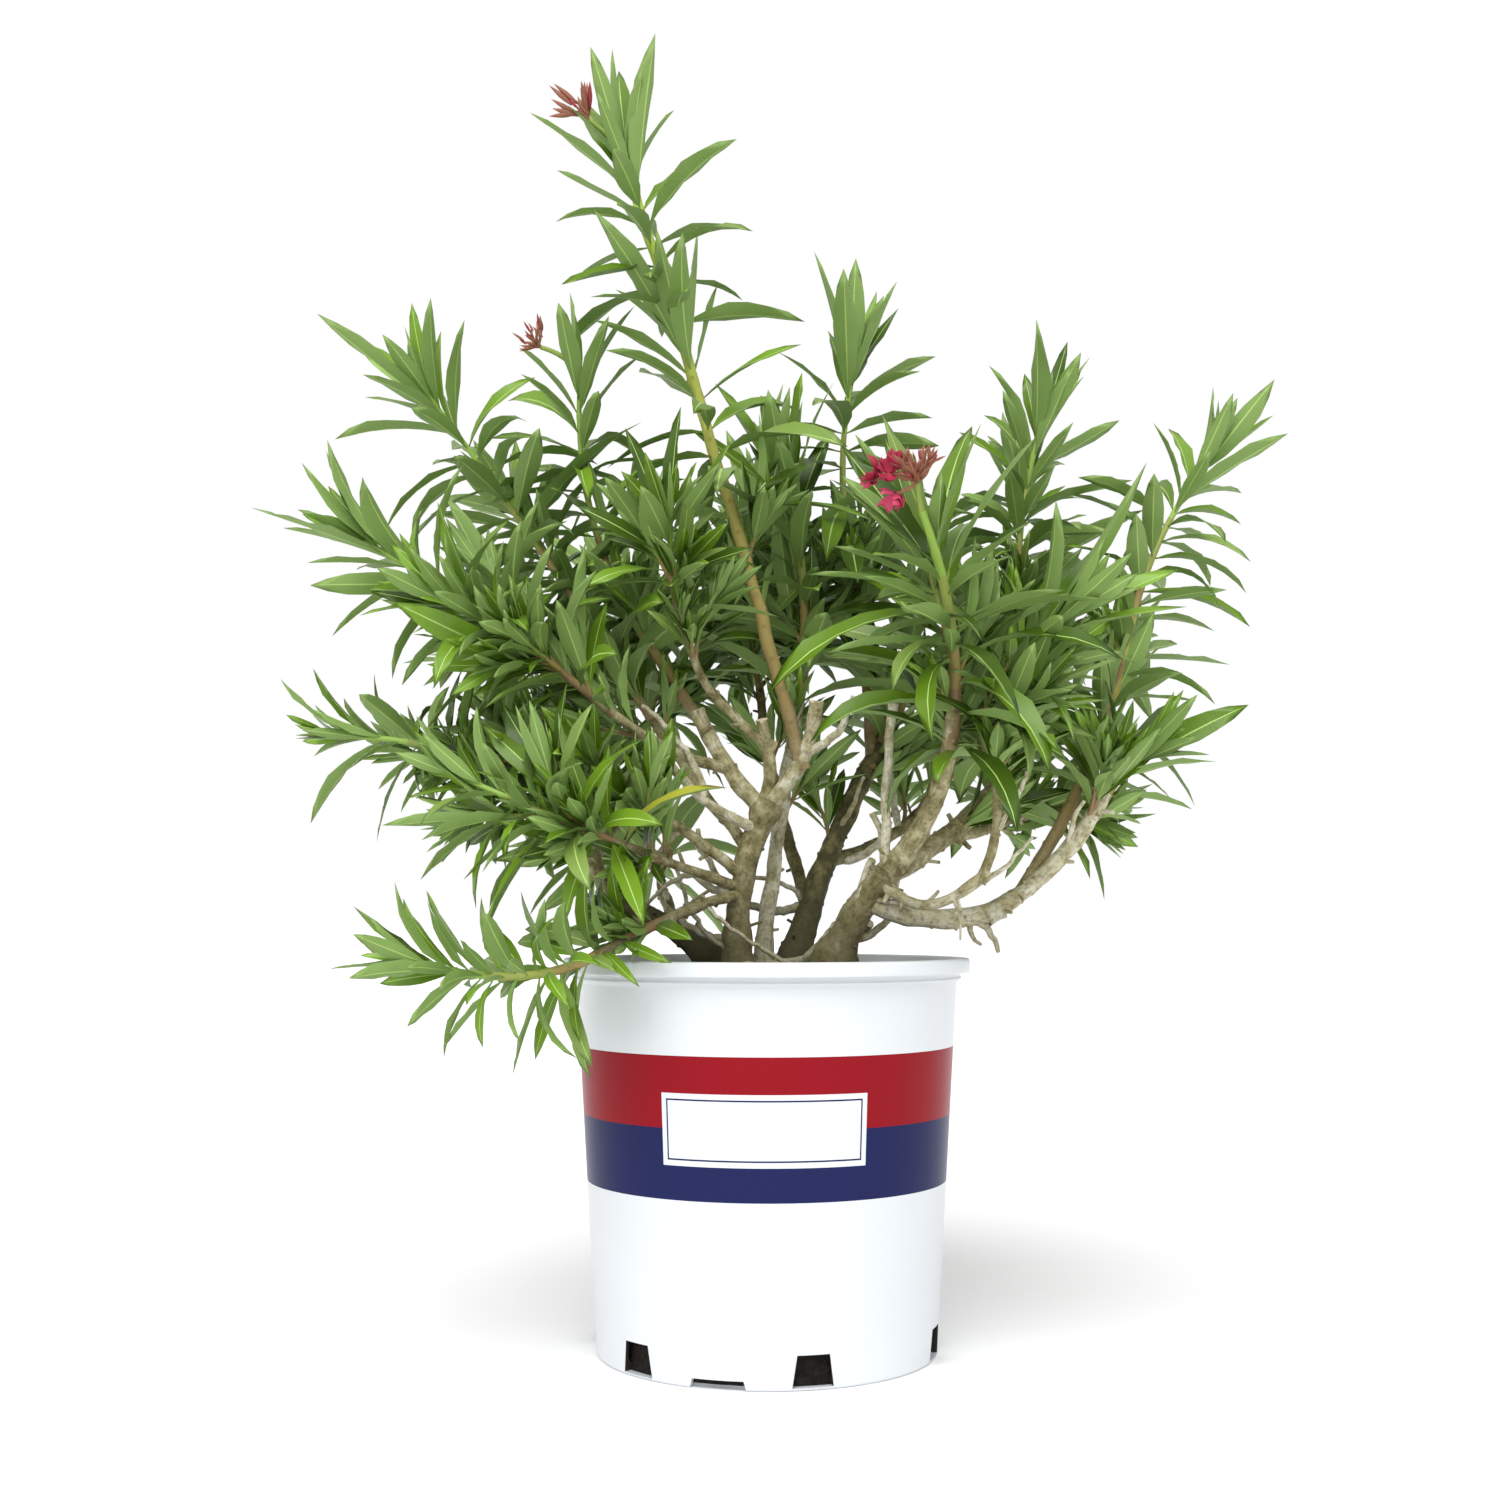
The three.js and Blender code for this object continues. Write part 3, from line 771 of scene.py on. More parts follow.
def scatter_tree(material):
    """Copies of one small shape on every point, turned and sized by the points' own attributes."""
    tree, given = shape_tree("scatter", {"Shape": ("Object", None)})
    shape = add(tree, "GeometryNodeObjectInfo", {"Object": given["Shape"]})
    turn, size = (
        add(tree, "GeometryNodeInputNamedAttribute", {"Name": name}, data_type=kind)
        for name, kind in (("turn", "QUATERNION"), ("size", "FLOAT_VECTOR")))
    copies = add(tree, "GeometryNodeInstanceOnPoints", {
        "Points": given["Geometry"], "Instance": shape.outputs["Geometry"],
        "Rotation": turn, "Scale": size})
    finish_shape(tree, copies, [(material, None)])
    return tree


def clod_shape():
    """A small angular lump of one unit's radius."""
    lump = bmesh.new()
    bmesh.ops.create_icosphere(lump, subdivisions=1, radius=1.0)
    for corner in lump.verts:
        corner.co *= 1 + 0.35 * noise.noise(corner.co * 2)
    mesh = bpy.data.meshes.new("clod")
    lump.to_mesh(mesh)
    lump.free()
    return placed("clod", mesh)


def scattered(name, template, points, turns, sizes, material):
    """A piece made of many copies of a template."""
    mesh = mesh_of(name, points, attributes={
        "turn": ("QUATERNION", turns), "size": ("FLOAT_VECTOR", sizes)})
    piece = shaped(name, mesh, scatter_tree(material), {"Shape": template})
    bpy.data.objects.remove(template)
    return piece


def random_turns(rng, count):
    """Evenly random rotations, as quaternions."""
    turns = rng.normal(size=(count, 4))
    return turns / np.linalg.norm(turns, axis=1)[:, None]


class OLEANDER_OT_soil(bpy.types.Operator):
    """Fills the pot with a lumpy root ball and strews crumbs of bark over it"""
    bl_idname = "oleander.soil"
    bl_label = "Soil"

    def execute(self, context):
        rng = np.random.default_rng(context.scene.oleander.growth.seed)
        body = placed("root_ball", soil_body())
        body.data.shade_smooth()
        attach(body, "soil", "soil")
        reach = (SOIL_HIGH.x - CLOD_EDGE) * np.sqrt(rng.random(CLOD_COUNT))
        heading = rng.random(CLOD_COUNT) * FULL_TURN
        size = rng.uniform(*CLOD_SIZES, CLOD_COUNT) ** 1.2 * MM
        points = np.stack((reach * np.cos(heading), reach * np.sin(heading),
                           np.full(CLOD_COUNT, SOIL_HIGH.z - 2 * MM)), axis=1)
        sizes = np.stack((size * 1.5, size, size * 0.6), axis=1)
        crumbs = scattered("soil_crumbs", clod_shape(), points, random_turns(rng, CLOD_COUNT),
                           sizes, body.data.materials[0])
        attach(crumbs, "soil")
        return {"FINISHED"}


# ---------------------------------------------------------------- wood

WOOD_SPACING = 2.2 * MM
WOOD_SIDES = 22
SHOOT_SIDES = 9
TWIG_SIDES = 8
ANY_AGE = -1.0
# How steeply a leaf scar rises along the stem, as a share of the gap between scars.
SCAR_STEEPNESS = 7.0
YOUNG_LIMBS = ("leader", "bud_bough", "top_right_bough", "right_top_bough", "far_right_bough")
ROOT_STEMS = ("main_stem", "pale_stem", "rear_stem", "right_stem", "left_log")

# How far each limb's bark has weathered from dark and mossy, 0, to bare and pale grey, 1. The low tones
# of the left log and the rear limbs are dark bark and also painted shade of the crown over them.
TONES = {"main_stem": 0.38, "rear_stem": 0.08, "right_stem": 0.42, "left_log": 0.0, "pale_stem": 0.85,
         "left_stub": 0.66, "right_stub": 0.72, "middle_stub": 0.5, "left_pale_stub": 0.9,
         "low_sweep": 0.88, "high_sweep": 0.8, "upright_stub": 0.85, "low_loop": 0.7,
         "rear_low_bough": 0.2, "rear_middle_bough": 0.2, "rear_right_bough": 0.25, "dead_twig": 0.85}
PLAIN_TONE = 0.5

# A limb's crooks and swellings: length along the limb, and strength. Crooks fade out near both
# ends, so that a limb still meets its parent.
CROOK_LENGTH, CROOK, CROOK_FADE = 26 * MM, 1.5 * MM, 20 * MM
SWELLING_LENGTH, SWELLING = 17 * MM, 0.16
# Collars: how much a limb widens at a place, and over what distance that fades.
FORK_COLLAR = 0.3, 7 * MM
ROOT_COLLAR = 0.25, 16 * MM
STUB_COLLAR = 0.2, 5 * MM
CROTCH_COLLAR, CROTCH_BELOW_TOP = (0.35, 9 * MM), 6 * MM


def strand_mesh(name, strands):
    """Open chains of edges that carry the radius, age and tone of each strand."""
    points, edges, girth, age, tone = [], [], [], [], []
    for strand in strands:
        first = len(points)
        points += list(strand.line)
        edges += [(n, n + 1) for n in range(first, len(points) - 1)]
        girth += list(strand.girth)
        age += list(np.broadcast_to(strand.age, strand.girth.shape))
        tone += [TONES.get(strand.name, PLAIN_TONE)] * len(strand.girth)
    return mesh_of(name, points, edges=edges, attributes={
        "girth": ("FLOAT", girth), "age": ("FLOAT", age), "tone": ("FLOAT", tone)})


def bark_tree(paints):
    """Sweeps a round section along each strand and raises the bark's lumps, ridges and leaf scars.

    The paints are materials, each with the age from which it covers the wood.
    """
    tree, given = shape_tree("bark", {
        "Sides": ("Int", WOOD_SIDES),
        "Lumps": ("Float", 0.10), "Lump size": ("Float", 9 * MM),
        "Ridges": ("Float", 0.05), "Ridge size": ("Float", 1.6 * MM),
        "Scars": ("Float", 0.12), "Scar spacing": ("Float", 12 * MM)})
    girth, age, run, turn_share, scar = (
        add(tree, "GeometryNodeInputNamedAttribute", {"Name": name}, data_type="FLOAT")
        for name in ("girth", "age", "run", "turn_share", "scar"))
    line = add(tree, "GeometryNodeMeshToCurve", {"Mesh": given["Geometry"]})
    distance = add(tree, "GeometryNodeSplineParameter").outputs["Length"]
    line = add(tree, "GeometryNodeStoreNamedAttribute", {
        "Geometry": line, "Name": "run", "Value": distance}, data_type="FLOAT", domain="POINT")
    ring = add(tree, "GeometryNodeCurvePrimitiveCircle", {"Resolution": given["Sides"], "Radius": 1.0})
    share = add(tree, "GeometryNodeSplineParameter").outputs["Factor"]
    ring = add(tree, "GeometryNodeStoreNamedAttribute", {
        "Geometry": ring, "Name": "turn_share", "Value": share}, data_type="FLOAT", domain="POINT")
    tube = add(tree, "GeometryNodeCurveToMesh", {
        "Curve": line, "Profile Curve": ring, "Scale": girth, "Fill Caps": True})

    place = add(tree, "GeometryNodeInputPosition")
    relief = []
    for label, detail in (("Lump", 2.0), ("Ridge", 3.0)):
        scale = add(tree, "ShaderNodeMath", (1.0, given[label + " size"]), operation="DIVIDE")
        pattern = add(tree, "ShaderNodeTexNoise", {"Vector": place, "Scale": scale, "Detail": detail})
        centred = add(tree, "ShaderNodeMath", (pattern, 0.5), operation="SUBTRACT")
        relief.append(add(tree, "ShaderNodeMath", (centred, given[label + "s"]), operation="MULTIPLY"))

    # Leaf scars sit three to a ring, and each ring is turned half a gap from the one below.
    whorl = add(tree, "ShaderNodeMath", (run, given["Scar spacing"]), operation="DIVIDE")
    near = add(tree, "ShaderNodeMath", (whorl, 0.5), operation="PINGPONG")
    step = add(tree, "ShaderNodeMath", (whorl,), operation="ROUND")
    near, around, step = (
        add(tree, "ShaderNodeMath", pair, operation="MULTIPLY")
        for pair in ((near, SCAR_STEEPNESS), (turn_share, 3 * FULL_TURN), (step, math.pi)))
    ringed = add(tree, "ShaderNodeMath", (1.0, near), operation="SUBTRACT")
    around = add(tree, "ShaderNodeMath", (around, step), operation="ADD")
    facing = add(tree, "ShaderNodeMath", (around,), operation="COSINE")
    facing = add(tree, "ShaderNodeMath", (facing, 1.6), operation="MULTIPLY")
    facing = add(tree, "ShaderNodeMath", (facing, -0.6), operation="ADD")
    mark = add(tree, "ShaderNodeMath", (ringed, facing), operation="MINIMUM", use_clamp=True)
    tube = add(tree, "GeometryNodeStoreNamedAttribute", {
        "Geometry": tube, "Name": "scar", "Value": mark}, data_type="FLOAT", domain="POINT")

    raised = add(tree, "ShaderNodeMath", (scar, given["Scars"]), operation="MULTIPLY")
    height = add(tree, "ShaderNodeMath", relief, operation="ADD")
    height = add(tree, "ShaderNodeMath", (height, raised), operation="ADD")
    height = add(tree, "ShaderNodeMath", (height, girth), operation="MULTIPLY")
    normal = add(tree, "GeometryNodeInputNormal")
    offset = add(tree, "ShaderNodeVectorMath", {0: normal, "Scale": height}, operation="SCALE")
    tube = add(tree, "GeometryNodeSetPosition", {"Geometry": tube, "Offset": offset})
    painted = []
    for material, youngest in paints:
        covered = add(tree, "FunctionNodeCompare", {0: age, 1: youngest},
                      data_type="FLOAT", operation="GREATER_EQUAL")
        painted.append((material, covered))
    finish_shape(tree, tube, painted)
    return tree


def bark_material():
    """Oleander bark: grey-tan with dark specks and scars, mossy near the soil, green when young."""
    material, tree = material_tree("oleander_bark")
    place = add(tree, "ShaderNodeTexCoord").outputs["Object"]
    blotch, speck = (
        add(tree, "ShaderNodeTexNoise", {"Vector": place, "Scale": 1 / size, "Detail": 4.0})
        for size in (11 * MM, 2.6 * MM))
    tone, age, scar, turn, run = (
        add(tree, "ShaderNodeAttribute", attribute_name=name).outputs["Fac"]
        for name in ("tone", "age", "scar", "turn_share", "run"))
    patchy = add(tree, "ShaderNodeMath", (blotch, 0.5), operation="SUBTRACT")
    patchy = add(tree, "ShaderNodeMath", (patchy, 1.5), operation="MULTIPLY")
    tone = add(tree, "ShaderNodeMath", (tone, patchy), operation="ADD", use_clamp=True)
    old = add(tree, "ShaderNodeValToRGB", {"Fac": tone})
    set_stops(old, ((0.0, "#504d2d"), (0.35, "#847c53"), (0.65, "#aea680"), (1.0, "#d8d4bd")))

    # Streaks run along the limb: the two waves of the turn close on each other, so no seam shows.
    turn = add(tree, "ShaderNodeMath", (turn, FULL_TURN), operation="MULTIPLY")
    lengthwise = add(tree, "ShaderNodeCombineXYZ", (
        add(tree, "ShaderNodeMath", (turn,), operation="COSINE"),
        add(tree, "ShaderNodeMath", (turn,), operation="SINE"),
        add(tree, "ShaderNodeMath", (run, 24 * MM), operation="DIVIDE")))
    streak = add(tree, "ShaderNodeTexNoise", {"Vector": lengthwise, "Scale": 3.2, "Detail": 4.0})
    rough = add(tree, "ShaderNodeMath", (speck, streak), operation="ADD")
    rough = add(tree, "ShaderNodeMath", (rough, 0.5), operation="MULTIPLY")
    grain = add(tree, "ShaderNodeValToRGB", {"Fac": rough})
    set_stops(grain, ((0.38, "#86795c"), (0.52, "#ffffff")))
    colour = add(tree, "ShaderNodeMix", {"Factor": 0.6, 6: old, 7: grain},
                 data_type="RGBA", blend_type="MULTIPLY")

    # Young bark goes over from tan through straw to green towards the shoot's end.
    young = add(tree, "ShaderNodeValToRGB", {"Fac": age})
    set_stops(young, ((0.2, "#85704b"), (0.5, "#a59452"), (0.9, "#a3bb48")))
    youth = add(tree, "ShaderNodeMapRange", {"Value": age, "From Min": 0.05, "From Max": 0.3})
    scarred = add(tree, "ShaderNodeMath", (scar, 0.6), operation="MULTIPLY")

    # Moss thins out with height over the soil and keeps to the darker patches.
    height = add(tree, "ShaderNodeSeparateXYZ", {"Vector": place}).outputs["Z"]
    low = add(tree, "ShaderNodeMapRange", {
        "Value": height, "From Min": SOIL_HIGH.z + 80 * MM, "From Max": SOIL_HIGH.z,
        "To Min": 0.0, "To Max": 1.0})
    patch = add(tree, "ShaderNodeMapRange", {
        "Value": blotch, "From Min": 0.4, "From Max": 0.6, "To Min": 0.35})
    dark = add(tree, "ShaderNodeMath", (1.55, tone), operation="SUBTRACT")
    worn = add(tree, "ShaderNodeMath", (patch, dark), operation="MULTIPLY")
    moss = add(tree, "ShaderNodeMath", (low, worn), operation="MULTIPLY", use_clamp=True)
    for share, cover in ((youth, young), (scarred, linear("#574a33")), (moss, linear("#48442a"))):
        colour = add(tree, "ShaderNodeMix", {"Factor": share, 6: colour.outputs[2], 7: cover},
                     data_type="RGBA")
    bump = add(tree, "ShaderNodeBump", {"Height": rough, "Strength": 0.7, "Distance": 0.8 * MM})
    finish_material(tree, {"Base Color": colour.outputs[2], "Roughness": 0.8, "IOR": 1.45,
                           "Normal": bump})
    return material


def limb_age(node, strand):
    """Old wood is 0. A young limb greens along its length."""
    share = strand.run / strand.run[-1]
    if node == "leader":
        return 0.15 + 0.85 * share ** 0.8
    if node in YOUNG_LIMBS:
        return 0.1 + 0.6 * share
    return np.zeros_like(share)


def collar(collar_shape, distance):
    """How much wider a limb is at a distance from the middle of a collar."""
    swell, reach = collar_shape
    return 1 + swell * np.exp(-distance / reach)


def wood_strand(node):
    """A limb's strand with small crooks and swellings, and a collar where it leaves its parent."""
    strand = LIMB_STRANDS[node].even(WOOD_SPACING)
    strand.age = limb_age(node, strand)
    run = strand.run
    free = np.clip(run / CROOK_FADE, 0, 1) * np.clip((run[-1] - run) / CROOK_FADE, 0, 1)
    crook = np.array([noise.noise_vector(Vector(p) / CROOK_LENGTH) for p in strand.line])
    strand.line = strand.line + crook * free[:, None] * CROOK
    swell = np.array([noise.noise(Vector(p) / SWELLING_LENGTH) for p in strand.line])
    girth = strand.girth * (1 + SWELLING * swell)
    run = strand.run
    girth = girth * collar(ROOT_COLLAR if node in ROOT_STEMS else FORK_COLLAR, run)
    left = run[-1] - run
    if node.endswith("stub"):
        girth = girth * collar(STUB_COLLAR, left)
    if node == "main_stem":
        swell, reach = CROTCH_COLLAR
        girth = girth * (1 + swell * np.exp(-((left - CROTCH_BELOW_TOP) / reach) ** 2))
    strand.girth = girth
    return strand


def stem_families():
    """Sorts the limbs by the rooted stem they grow from, joining the nearest foot first."""
    families = {node: node for node in ROOT_STEMS}
    while len(families) < len(LIMBS):
        gaps = {(np.linalg.norm(LIMB_STRANDS[parent].line - LIMB_STRANDS[node].line[0], axis=1).min(),
                 node): stem for parent, stem in families.items()
                for node in LIMBS if node not in families}
        nearest = min(gaps)
        families[nearest[1]] = gaps[nearest]
    return families


# Short broken spurs: their gap, the share of a limb where they start, how far each is shifted, its
# lengths and its radii in millimetres, and its taper.
SPUR_GAP, SPUR_START, SPUR_SHIFT = 17 * MM, 0.12, 6
SPUR_LENGTHS, SPUR_RADII, SPUR_TAPER = (1.5, 15), (1.1, 2.4), 0.7
TWIG_CROOK, SPUR_CROOK = 0.7 * MM, 0.3 * MM

# Thin dead twigs and old shoots: the limb, the share of its length where the twig forks, where
# the twig ends from there in millimetres, which way it leaves, and its radius at foot and tip.
SMALL_WOOD = (
    ("rear_right_bough", 0.12, (38, 0, 28), (1, 0, -0.2), 4.0, 2.2),
    ("rear_right_bough", 0.56, (-7, 4, 58), (0, 0, 1), 3.0, 1.8),
    ("rear_stem", 0.10, (52, -46, 22), (1, -0.4, 0), 4.6, 3.6),
    ("rear_stem", 0.58, (21, -12, 46), (0.7, -0.3, 1), 2.6, 1.3),
    ("low_sweep", 0.13, (-3, -16, 62), (1, -0.6, 0.4), 3.4, 2.2),
    ("low_sweep", 0.08, (22, -20, -4), (1, -0.4, 0), 2.4, 1.5),
    ("high_sweep", 0.60, (11, -8, 35), (0, 0, 1), 2.4, 1.4),
    ("low_loop", 0.81, (43, -6, 34), (1, 0, 0.3), 2.2, 1.1),
    ("low_loop", 0.72, (1, -4, -30), (0.2, 0, -1), 1.5, 0.8),
    ("low_sweep", 0.77, (18, -10, -24), (1, 0, -0.4), 3.4, 1.6),
    ("low_sweep", 0.77, (6, -12, -19), (-0.2, -0.3, -1), 2.6, 1.2),
    ("rear_middle_bough", 0.02, (-92, -40, 2), (-0.6, -0.3, 0.9), 2.2, 1.1),
    ("rear_middle_bough", 0.04, (-85, -30, 52), (-1, 0, -0.5), 3.6, 2.2),
    ("right_stub", 0.58, (36, -10, 41), (1, -0.2, 0.2), 3.4, 2.4),
    ("pale_stem", 0.82, (5, -4, 41), (0.3, 0, 1), 2.2, 1.3),
    ("flower_bough", 0.51, (5, -4, 21), (0.2, -0.2, 1), 3.0, 2.8),
    ("low_left_bough", 0.06, (-64, -12, 36), (-0.8, 0, 0.3), 3.2, 1.9),
    ("left_pale_stub", 0.58, (-20, -6, 41), (-0.2, 0, 1), 3.2, 2.0),
    ("left_upper_bough", 0.35, (-30, -14, 34), (-0.4, -0.3, 1), 2.6, 1.4),
    ("left_middle_bough", 0.45, (-34, 10, -30), (-0.8, 0.2, -0.6), 2.2, 1.1),
    ("left_lower_bough", 0.30, (-40, 16, -24), (-1, 0.2, 0), 2.4, 1.2),
    ("rear_left_bough", 0.40, (-46, 10, 30), (-1, 0, 0.2), 2.6, 1.4),
    ("rear_low_bough", 0.45, (-30, 20, 44), (-0.3, 0.3, 1), 2.4, 1.3),
    ("high_loop", 0.40, (20, -10, 40), (0.6, 0, 0.8), 2.4, 1.4),
    ("main_stem", 0.20, (-58, 22, 34), (-1, 0.2, 0), 3.6, 2.0),
    ("right_stem", 0.30, (46, 30, 34), (1, 0.3, 0.1), 3.4, 2.0),
    ("pale_stem", 0.03, (76, -66, 74), (1, -1.0, -0.1), 4.6, 3.0),
    ("right_stem", 0.08, (-84, -36, 44), (-1, -0.7, 0.0), 2.0, 1.4),
    ("right_stem", 0.10, (-92, -30, -2), (-1, -0.5, 0.3), 2.1, 1.3),
    ("right_stem", 0.14, (-40, -26, 4), (-1, -0.4, -0.6), 1.8, 1.2),
    ("main_stem", 0.12, (-44, -20, 62), (-1, -0.2, 0.4), 2.2, 1.4),
)


def wandering(line, rng, amount):
    """The same line with a slight random crook at its inner points."""
    bends = rng.normal(0, amount, line.shape)
    bends[0] = 0
    smooth = np.cumsum(bends, axis=0)
    return line + smooth - np.linspace(0, 1, len(line))[:, None] ** 2 * smooth[-1]


def small_wood(rng):
    """The dead twigs of the table, and a short broken spur here and there along every old limb."""
    strands = []
    for limb, share, gap, leave, foot, tip in SMALL_WOOD:
        parent = LIMB_STRANDS[limb]
        start = parent.at(parent.run[-1] * share)[0]
        line = bent_line(start, np.array(leave, float), start + np.array(gap) * MM)
        line = wandering(line, rng, TWIG_CROOK)
        strands.append(Strand("dead_twig", line, np.linspace(foot, tip, len(line)) * MM))
    for limb in LIMBS:
        if limb in YOUNG_LIMBS or limb.endswith("stub"):
            continue
        parent = LIMB_STRANDS[limb]
        total = parent.run[-1]
        for distance in np.arange(total * SPUR_START, total, SPUR_GAP):
            distance = min(distance + rng.uniform(-SPUR_SHIFT, SPUR_SHIFT) * MM, total)
            start, heading = parent.at(distance)
            side, other = across(heading)
            turn = rng.uniform(0, FULL_TURN)
            way = unit(side * math.cos(turn) + other * math.sin(turn) + heading * rng.uniform(0.1, 0.9))
            girth = float(np.interp(distance, parent.run, parent.girth))
            length = girth + rng.uniform(*SPUR_LENGTHS) * MM * rng.random()
            line = wandering(bent_line(start, way, start + way * length), rng, SPUR_CROOK)
            foot = rng.uniform(*SPUR_RADII) * MM
            strands.append(Strand(limb, line, np.linspace(foot, foot * SPUR_TAPER, len(line))))
    return strands


# A sawn end's disc: its depth, its rise, and its radii as shares of the stub's own.
CUT_DEPTH, CUT_RISE = 1 * MM, 0.5 * MM
CUT_SECTION = 0.95, 0.93, 0.7


def cut_ends(limbs):
    """A pale disc on the sawn end of every stub."""
    strands = []
    for limb in limbs:
        strand = wood_strand(limb)
        end, way = strand.line[-1], unit(strand.line[-1] - strand.line[-3])
        line = np.array((end - way * CUT_DEPTH, end, end + way * CUT_RISE))
        strands.append(Strand(limb, line, np.array(CUT_SECTION) * strand.girth[-1]))
    return strands


class OLEANDER_OT_wood(bpy.types.Operator):
    """Gives the stems and boughs their bark, one piece for each rooted stem and its boughs"""
    bl_idname = "oleander.wood"
    bl_label = "Stems and boughs"

    def execute(self, context):
        seed = context.scene.oleander.growth.seed
        rng = np.random.default_rng(seed)
        # The vector noise of the limbs' crooks takes its seed from the clock unless one is set.
        noise.seed_set(seed)
        tree = bark_tree([(bark_material(), ANY_AGE)])
        stems = stem_families()
        for stem in ROOT_STEMS:
            family = [n for n in LIMBS if n not in YOUNG_LIMBS and stems[n] == stem]
            mesh = strand_mesh(stem, [wood_strand(node) for node in family])
            piece = shaped(f"{stem}_wood", mesh, tree, {"Lumps": 0.22, "Ridges": 0.12})
            attach(piece, "bark", *family)
        mesh = strand_mesh("young_boughs", [wood_strand(node) for node in YOUNG_LIMBS])
        piece = shaped("young_boughs", mesh, tree, {"Lumps": 0.06, "Ridges": 0.03, "Scars": 0.16})
        attach(piece, "green_bark", *YOUNG_LIMBS)
        mesh = strand_mesh("spurs_and_dead_twigs", small_wood(rng))
        attach(shaped("spurs_and_dead_twigs", mesh, tree, {"Sides": TWIG_SIDES, "Lumps": 0.2}), "bark")
        # Sawn wood a season old: dry and matt, and paler than the bark round it.
        heartwood = even_material("weathered_cut_wood", "#d9cdb0", 0.85, 1.45)
        mesh = strand_mesh("cut_ends", cut_ends([n for n in LIMBS if n.endswith("stub")]))
        attach(shaped("cut_ends", mesh, bark_tree([(heartwood, ANY_AGE)]), {"Lumps": 0.0}), "bark")
        return {"FINISHED"}


# ---------------------------------------------------------------- growth

GOLDEN_ANGLE = math.radians(137.5)
SHOOT_SPACING = 3.5 * MM
LONE_MASSES = ("leader_leaves",)
# A shoot's least run past its limb's end, its start inside the limb, and the bare end of a limb
# that needs no shoot.
LEAST_GROWTH, SHOOT_ROOT, BARE_LIMB = 15 * MM, 4 * MM, 12 * MM
# Side shoots: the share of the leading one where they start, the room one needs, its lengths, its
# sizes, and how far its heading strays.
SIDE_STARTS, LEAST_ROOM, SIDE_LENGTHS = (0.0, 0.45), 30 * MM, (26 * MM, 230 * MM)
SIDE_SIZES, SIDE_STRAY = (0.65, 0.98), 0.12
# Low twigs: where on the bare limb they sit, their least height over the soil, lengths and sizes.
LOW_STARTS, LOW_CLEAR, LOW_LENGTHS, LOW_SIZES = (0.55, 0.97), 70 * MM, (22, 62), (0.45, 0.7)
# A point of a limb within this distance of a mass counts as held by it.
TOUCH = 3 * MM


@dataclass
class Habit:
    """How one mass departs from the common rule.

    Size, gap, room, spread and tip are shares of the rule's own numbers. Bare_end, below, clear and
    pull are lengths. Shade darkens the leaves, and droop is taken off a shoot's lift.
    """
    size: float = 1.0
    gap: float = 1.0
    room: float = 1.0
    spread: float = 1.0
    bare_end: float = 0.0
    below: float = 0.0
    clear: float = 38 * MM
    shade: float = 0.0
    pull: float = 0.0
    droop: float = 0.0
    tip: float = 0.55


# Masses below the middle have shorter leaves in closer whorls. A flowering shoot ends in a bare
# stalk. Young limbs keep their leaves for some way below the mass.
HABITS = {
    "leader_leaves": Habit(size=1.12, gap=1.0, spread=1.15, tip=0.84),
    "leader_collar_leaves": Habit(size=1.2, gap=1.5, spread=1.15),
    "flower_bough_leaves": Habit(size=1.2, gap=0.8, room=2.4, bare_end=26 * MM, below=30 * MM,
                                 shade=0.6),
    "bud_bough_leaves": Habit(bare_end=16 * MM, below=50 * MM),
    "far_right_bough_leaves": Habit(size=0.95, gap=0.85, room=1.3, below=110 * MM, pull=10 * MM),
    "right_top_bough_leaves": Habit(size=0.92, gap=0.9, below=60 * MM, pull=8 * MM),
    "top_right_bough_leaves": Habit(size=1.05, gap=0.9, spread=1.3, below=60 * MM, tip=0.8),
    "left_high_bough_leaves": Habit(gap=0.85, room=1.6, below=60 * MM),
    "left_upper_bough_leaves": Habit(size=0.95, gap=0.85, room=1.3, spread=0.85),
    "pale_stem_leaves": Habit(size=1.1, gap=0.9),
    "high_loop_leaves": Habit(gap=0.85, room=0.6),
    "thick_bough_leaves": Habit(gap=0.85, room=0.6),
    "whorl_bough_leaves": Habit(size=0.85, room=2.4, spread=1.35, shade=0.6),
    "low_left_bough_leaves": Habit(size=0.66, gap=0.48, room=0.16, below=40 * MM, clear=14 * MM,
                                   shade=0.1, droop=-0.25),
    "left_lower_bough_leaves": Habit(size=0.84, gap=0.9, room=0.55, shade=0.1, droop=0.5),
    "left_middle_bough_leaves": Habit(size=0.74, gap=0.8, room=0.6, shade=0.2, droop=0.3),
    "left_upright_leaves": Habit(size=0.8, room=0.8, shade=0.2),
    "high_sweep_leaves": Habit(size=0.8, room=1.2, pull=28 * MM),
    "brown_bough_leaves": Habit(size=0.72, room=0.8, pull=24 * MM, droop=0.45),
}
PLAIN_HABIT = Habit()


def bent_line(start, leave, end, spacing=SHOOT_SPACING):
    """A quadratic curve that leaves its start in one direction and ends at a point."""
    length = np.linalg.norm(end - start)
    handle = start + unit(leave) * length * 0.5
    shares = np.linspace(0, 1, max(5, int(length / spacing)))[:, None]
    return start * (1 - shares) ** 2 + 2 * handle * shares * (1 - shares) + end * shares ** 2


def across(axis):
    """Two directions square to an axis and to each other."""
    side = unit(np.cross(axis, UP if abs(axis[2]) < 0.9 else np.array((1.0, 0.0, 0.0))))
    return side, np.cross(axis, side)


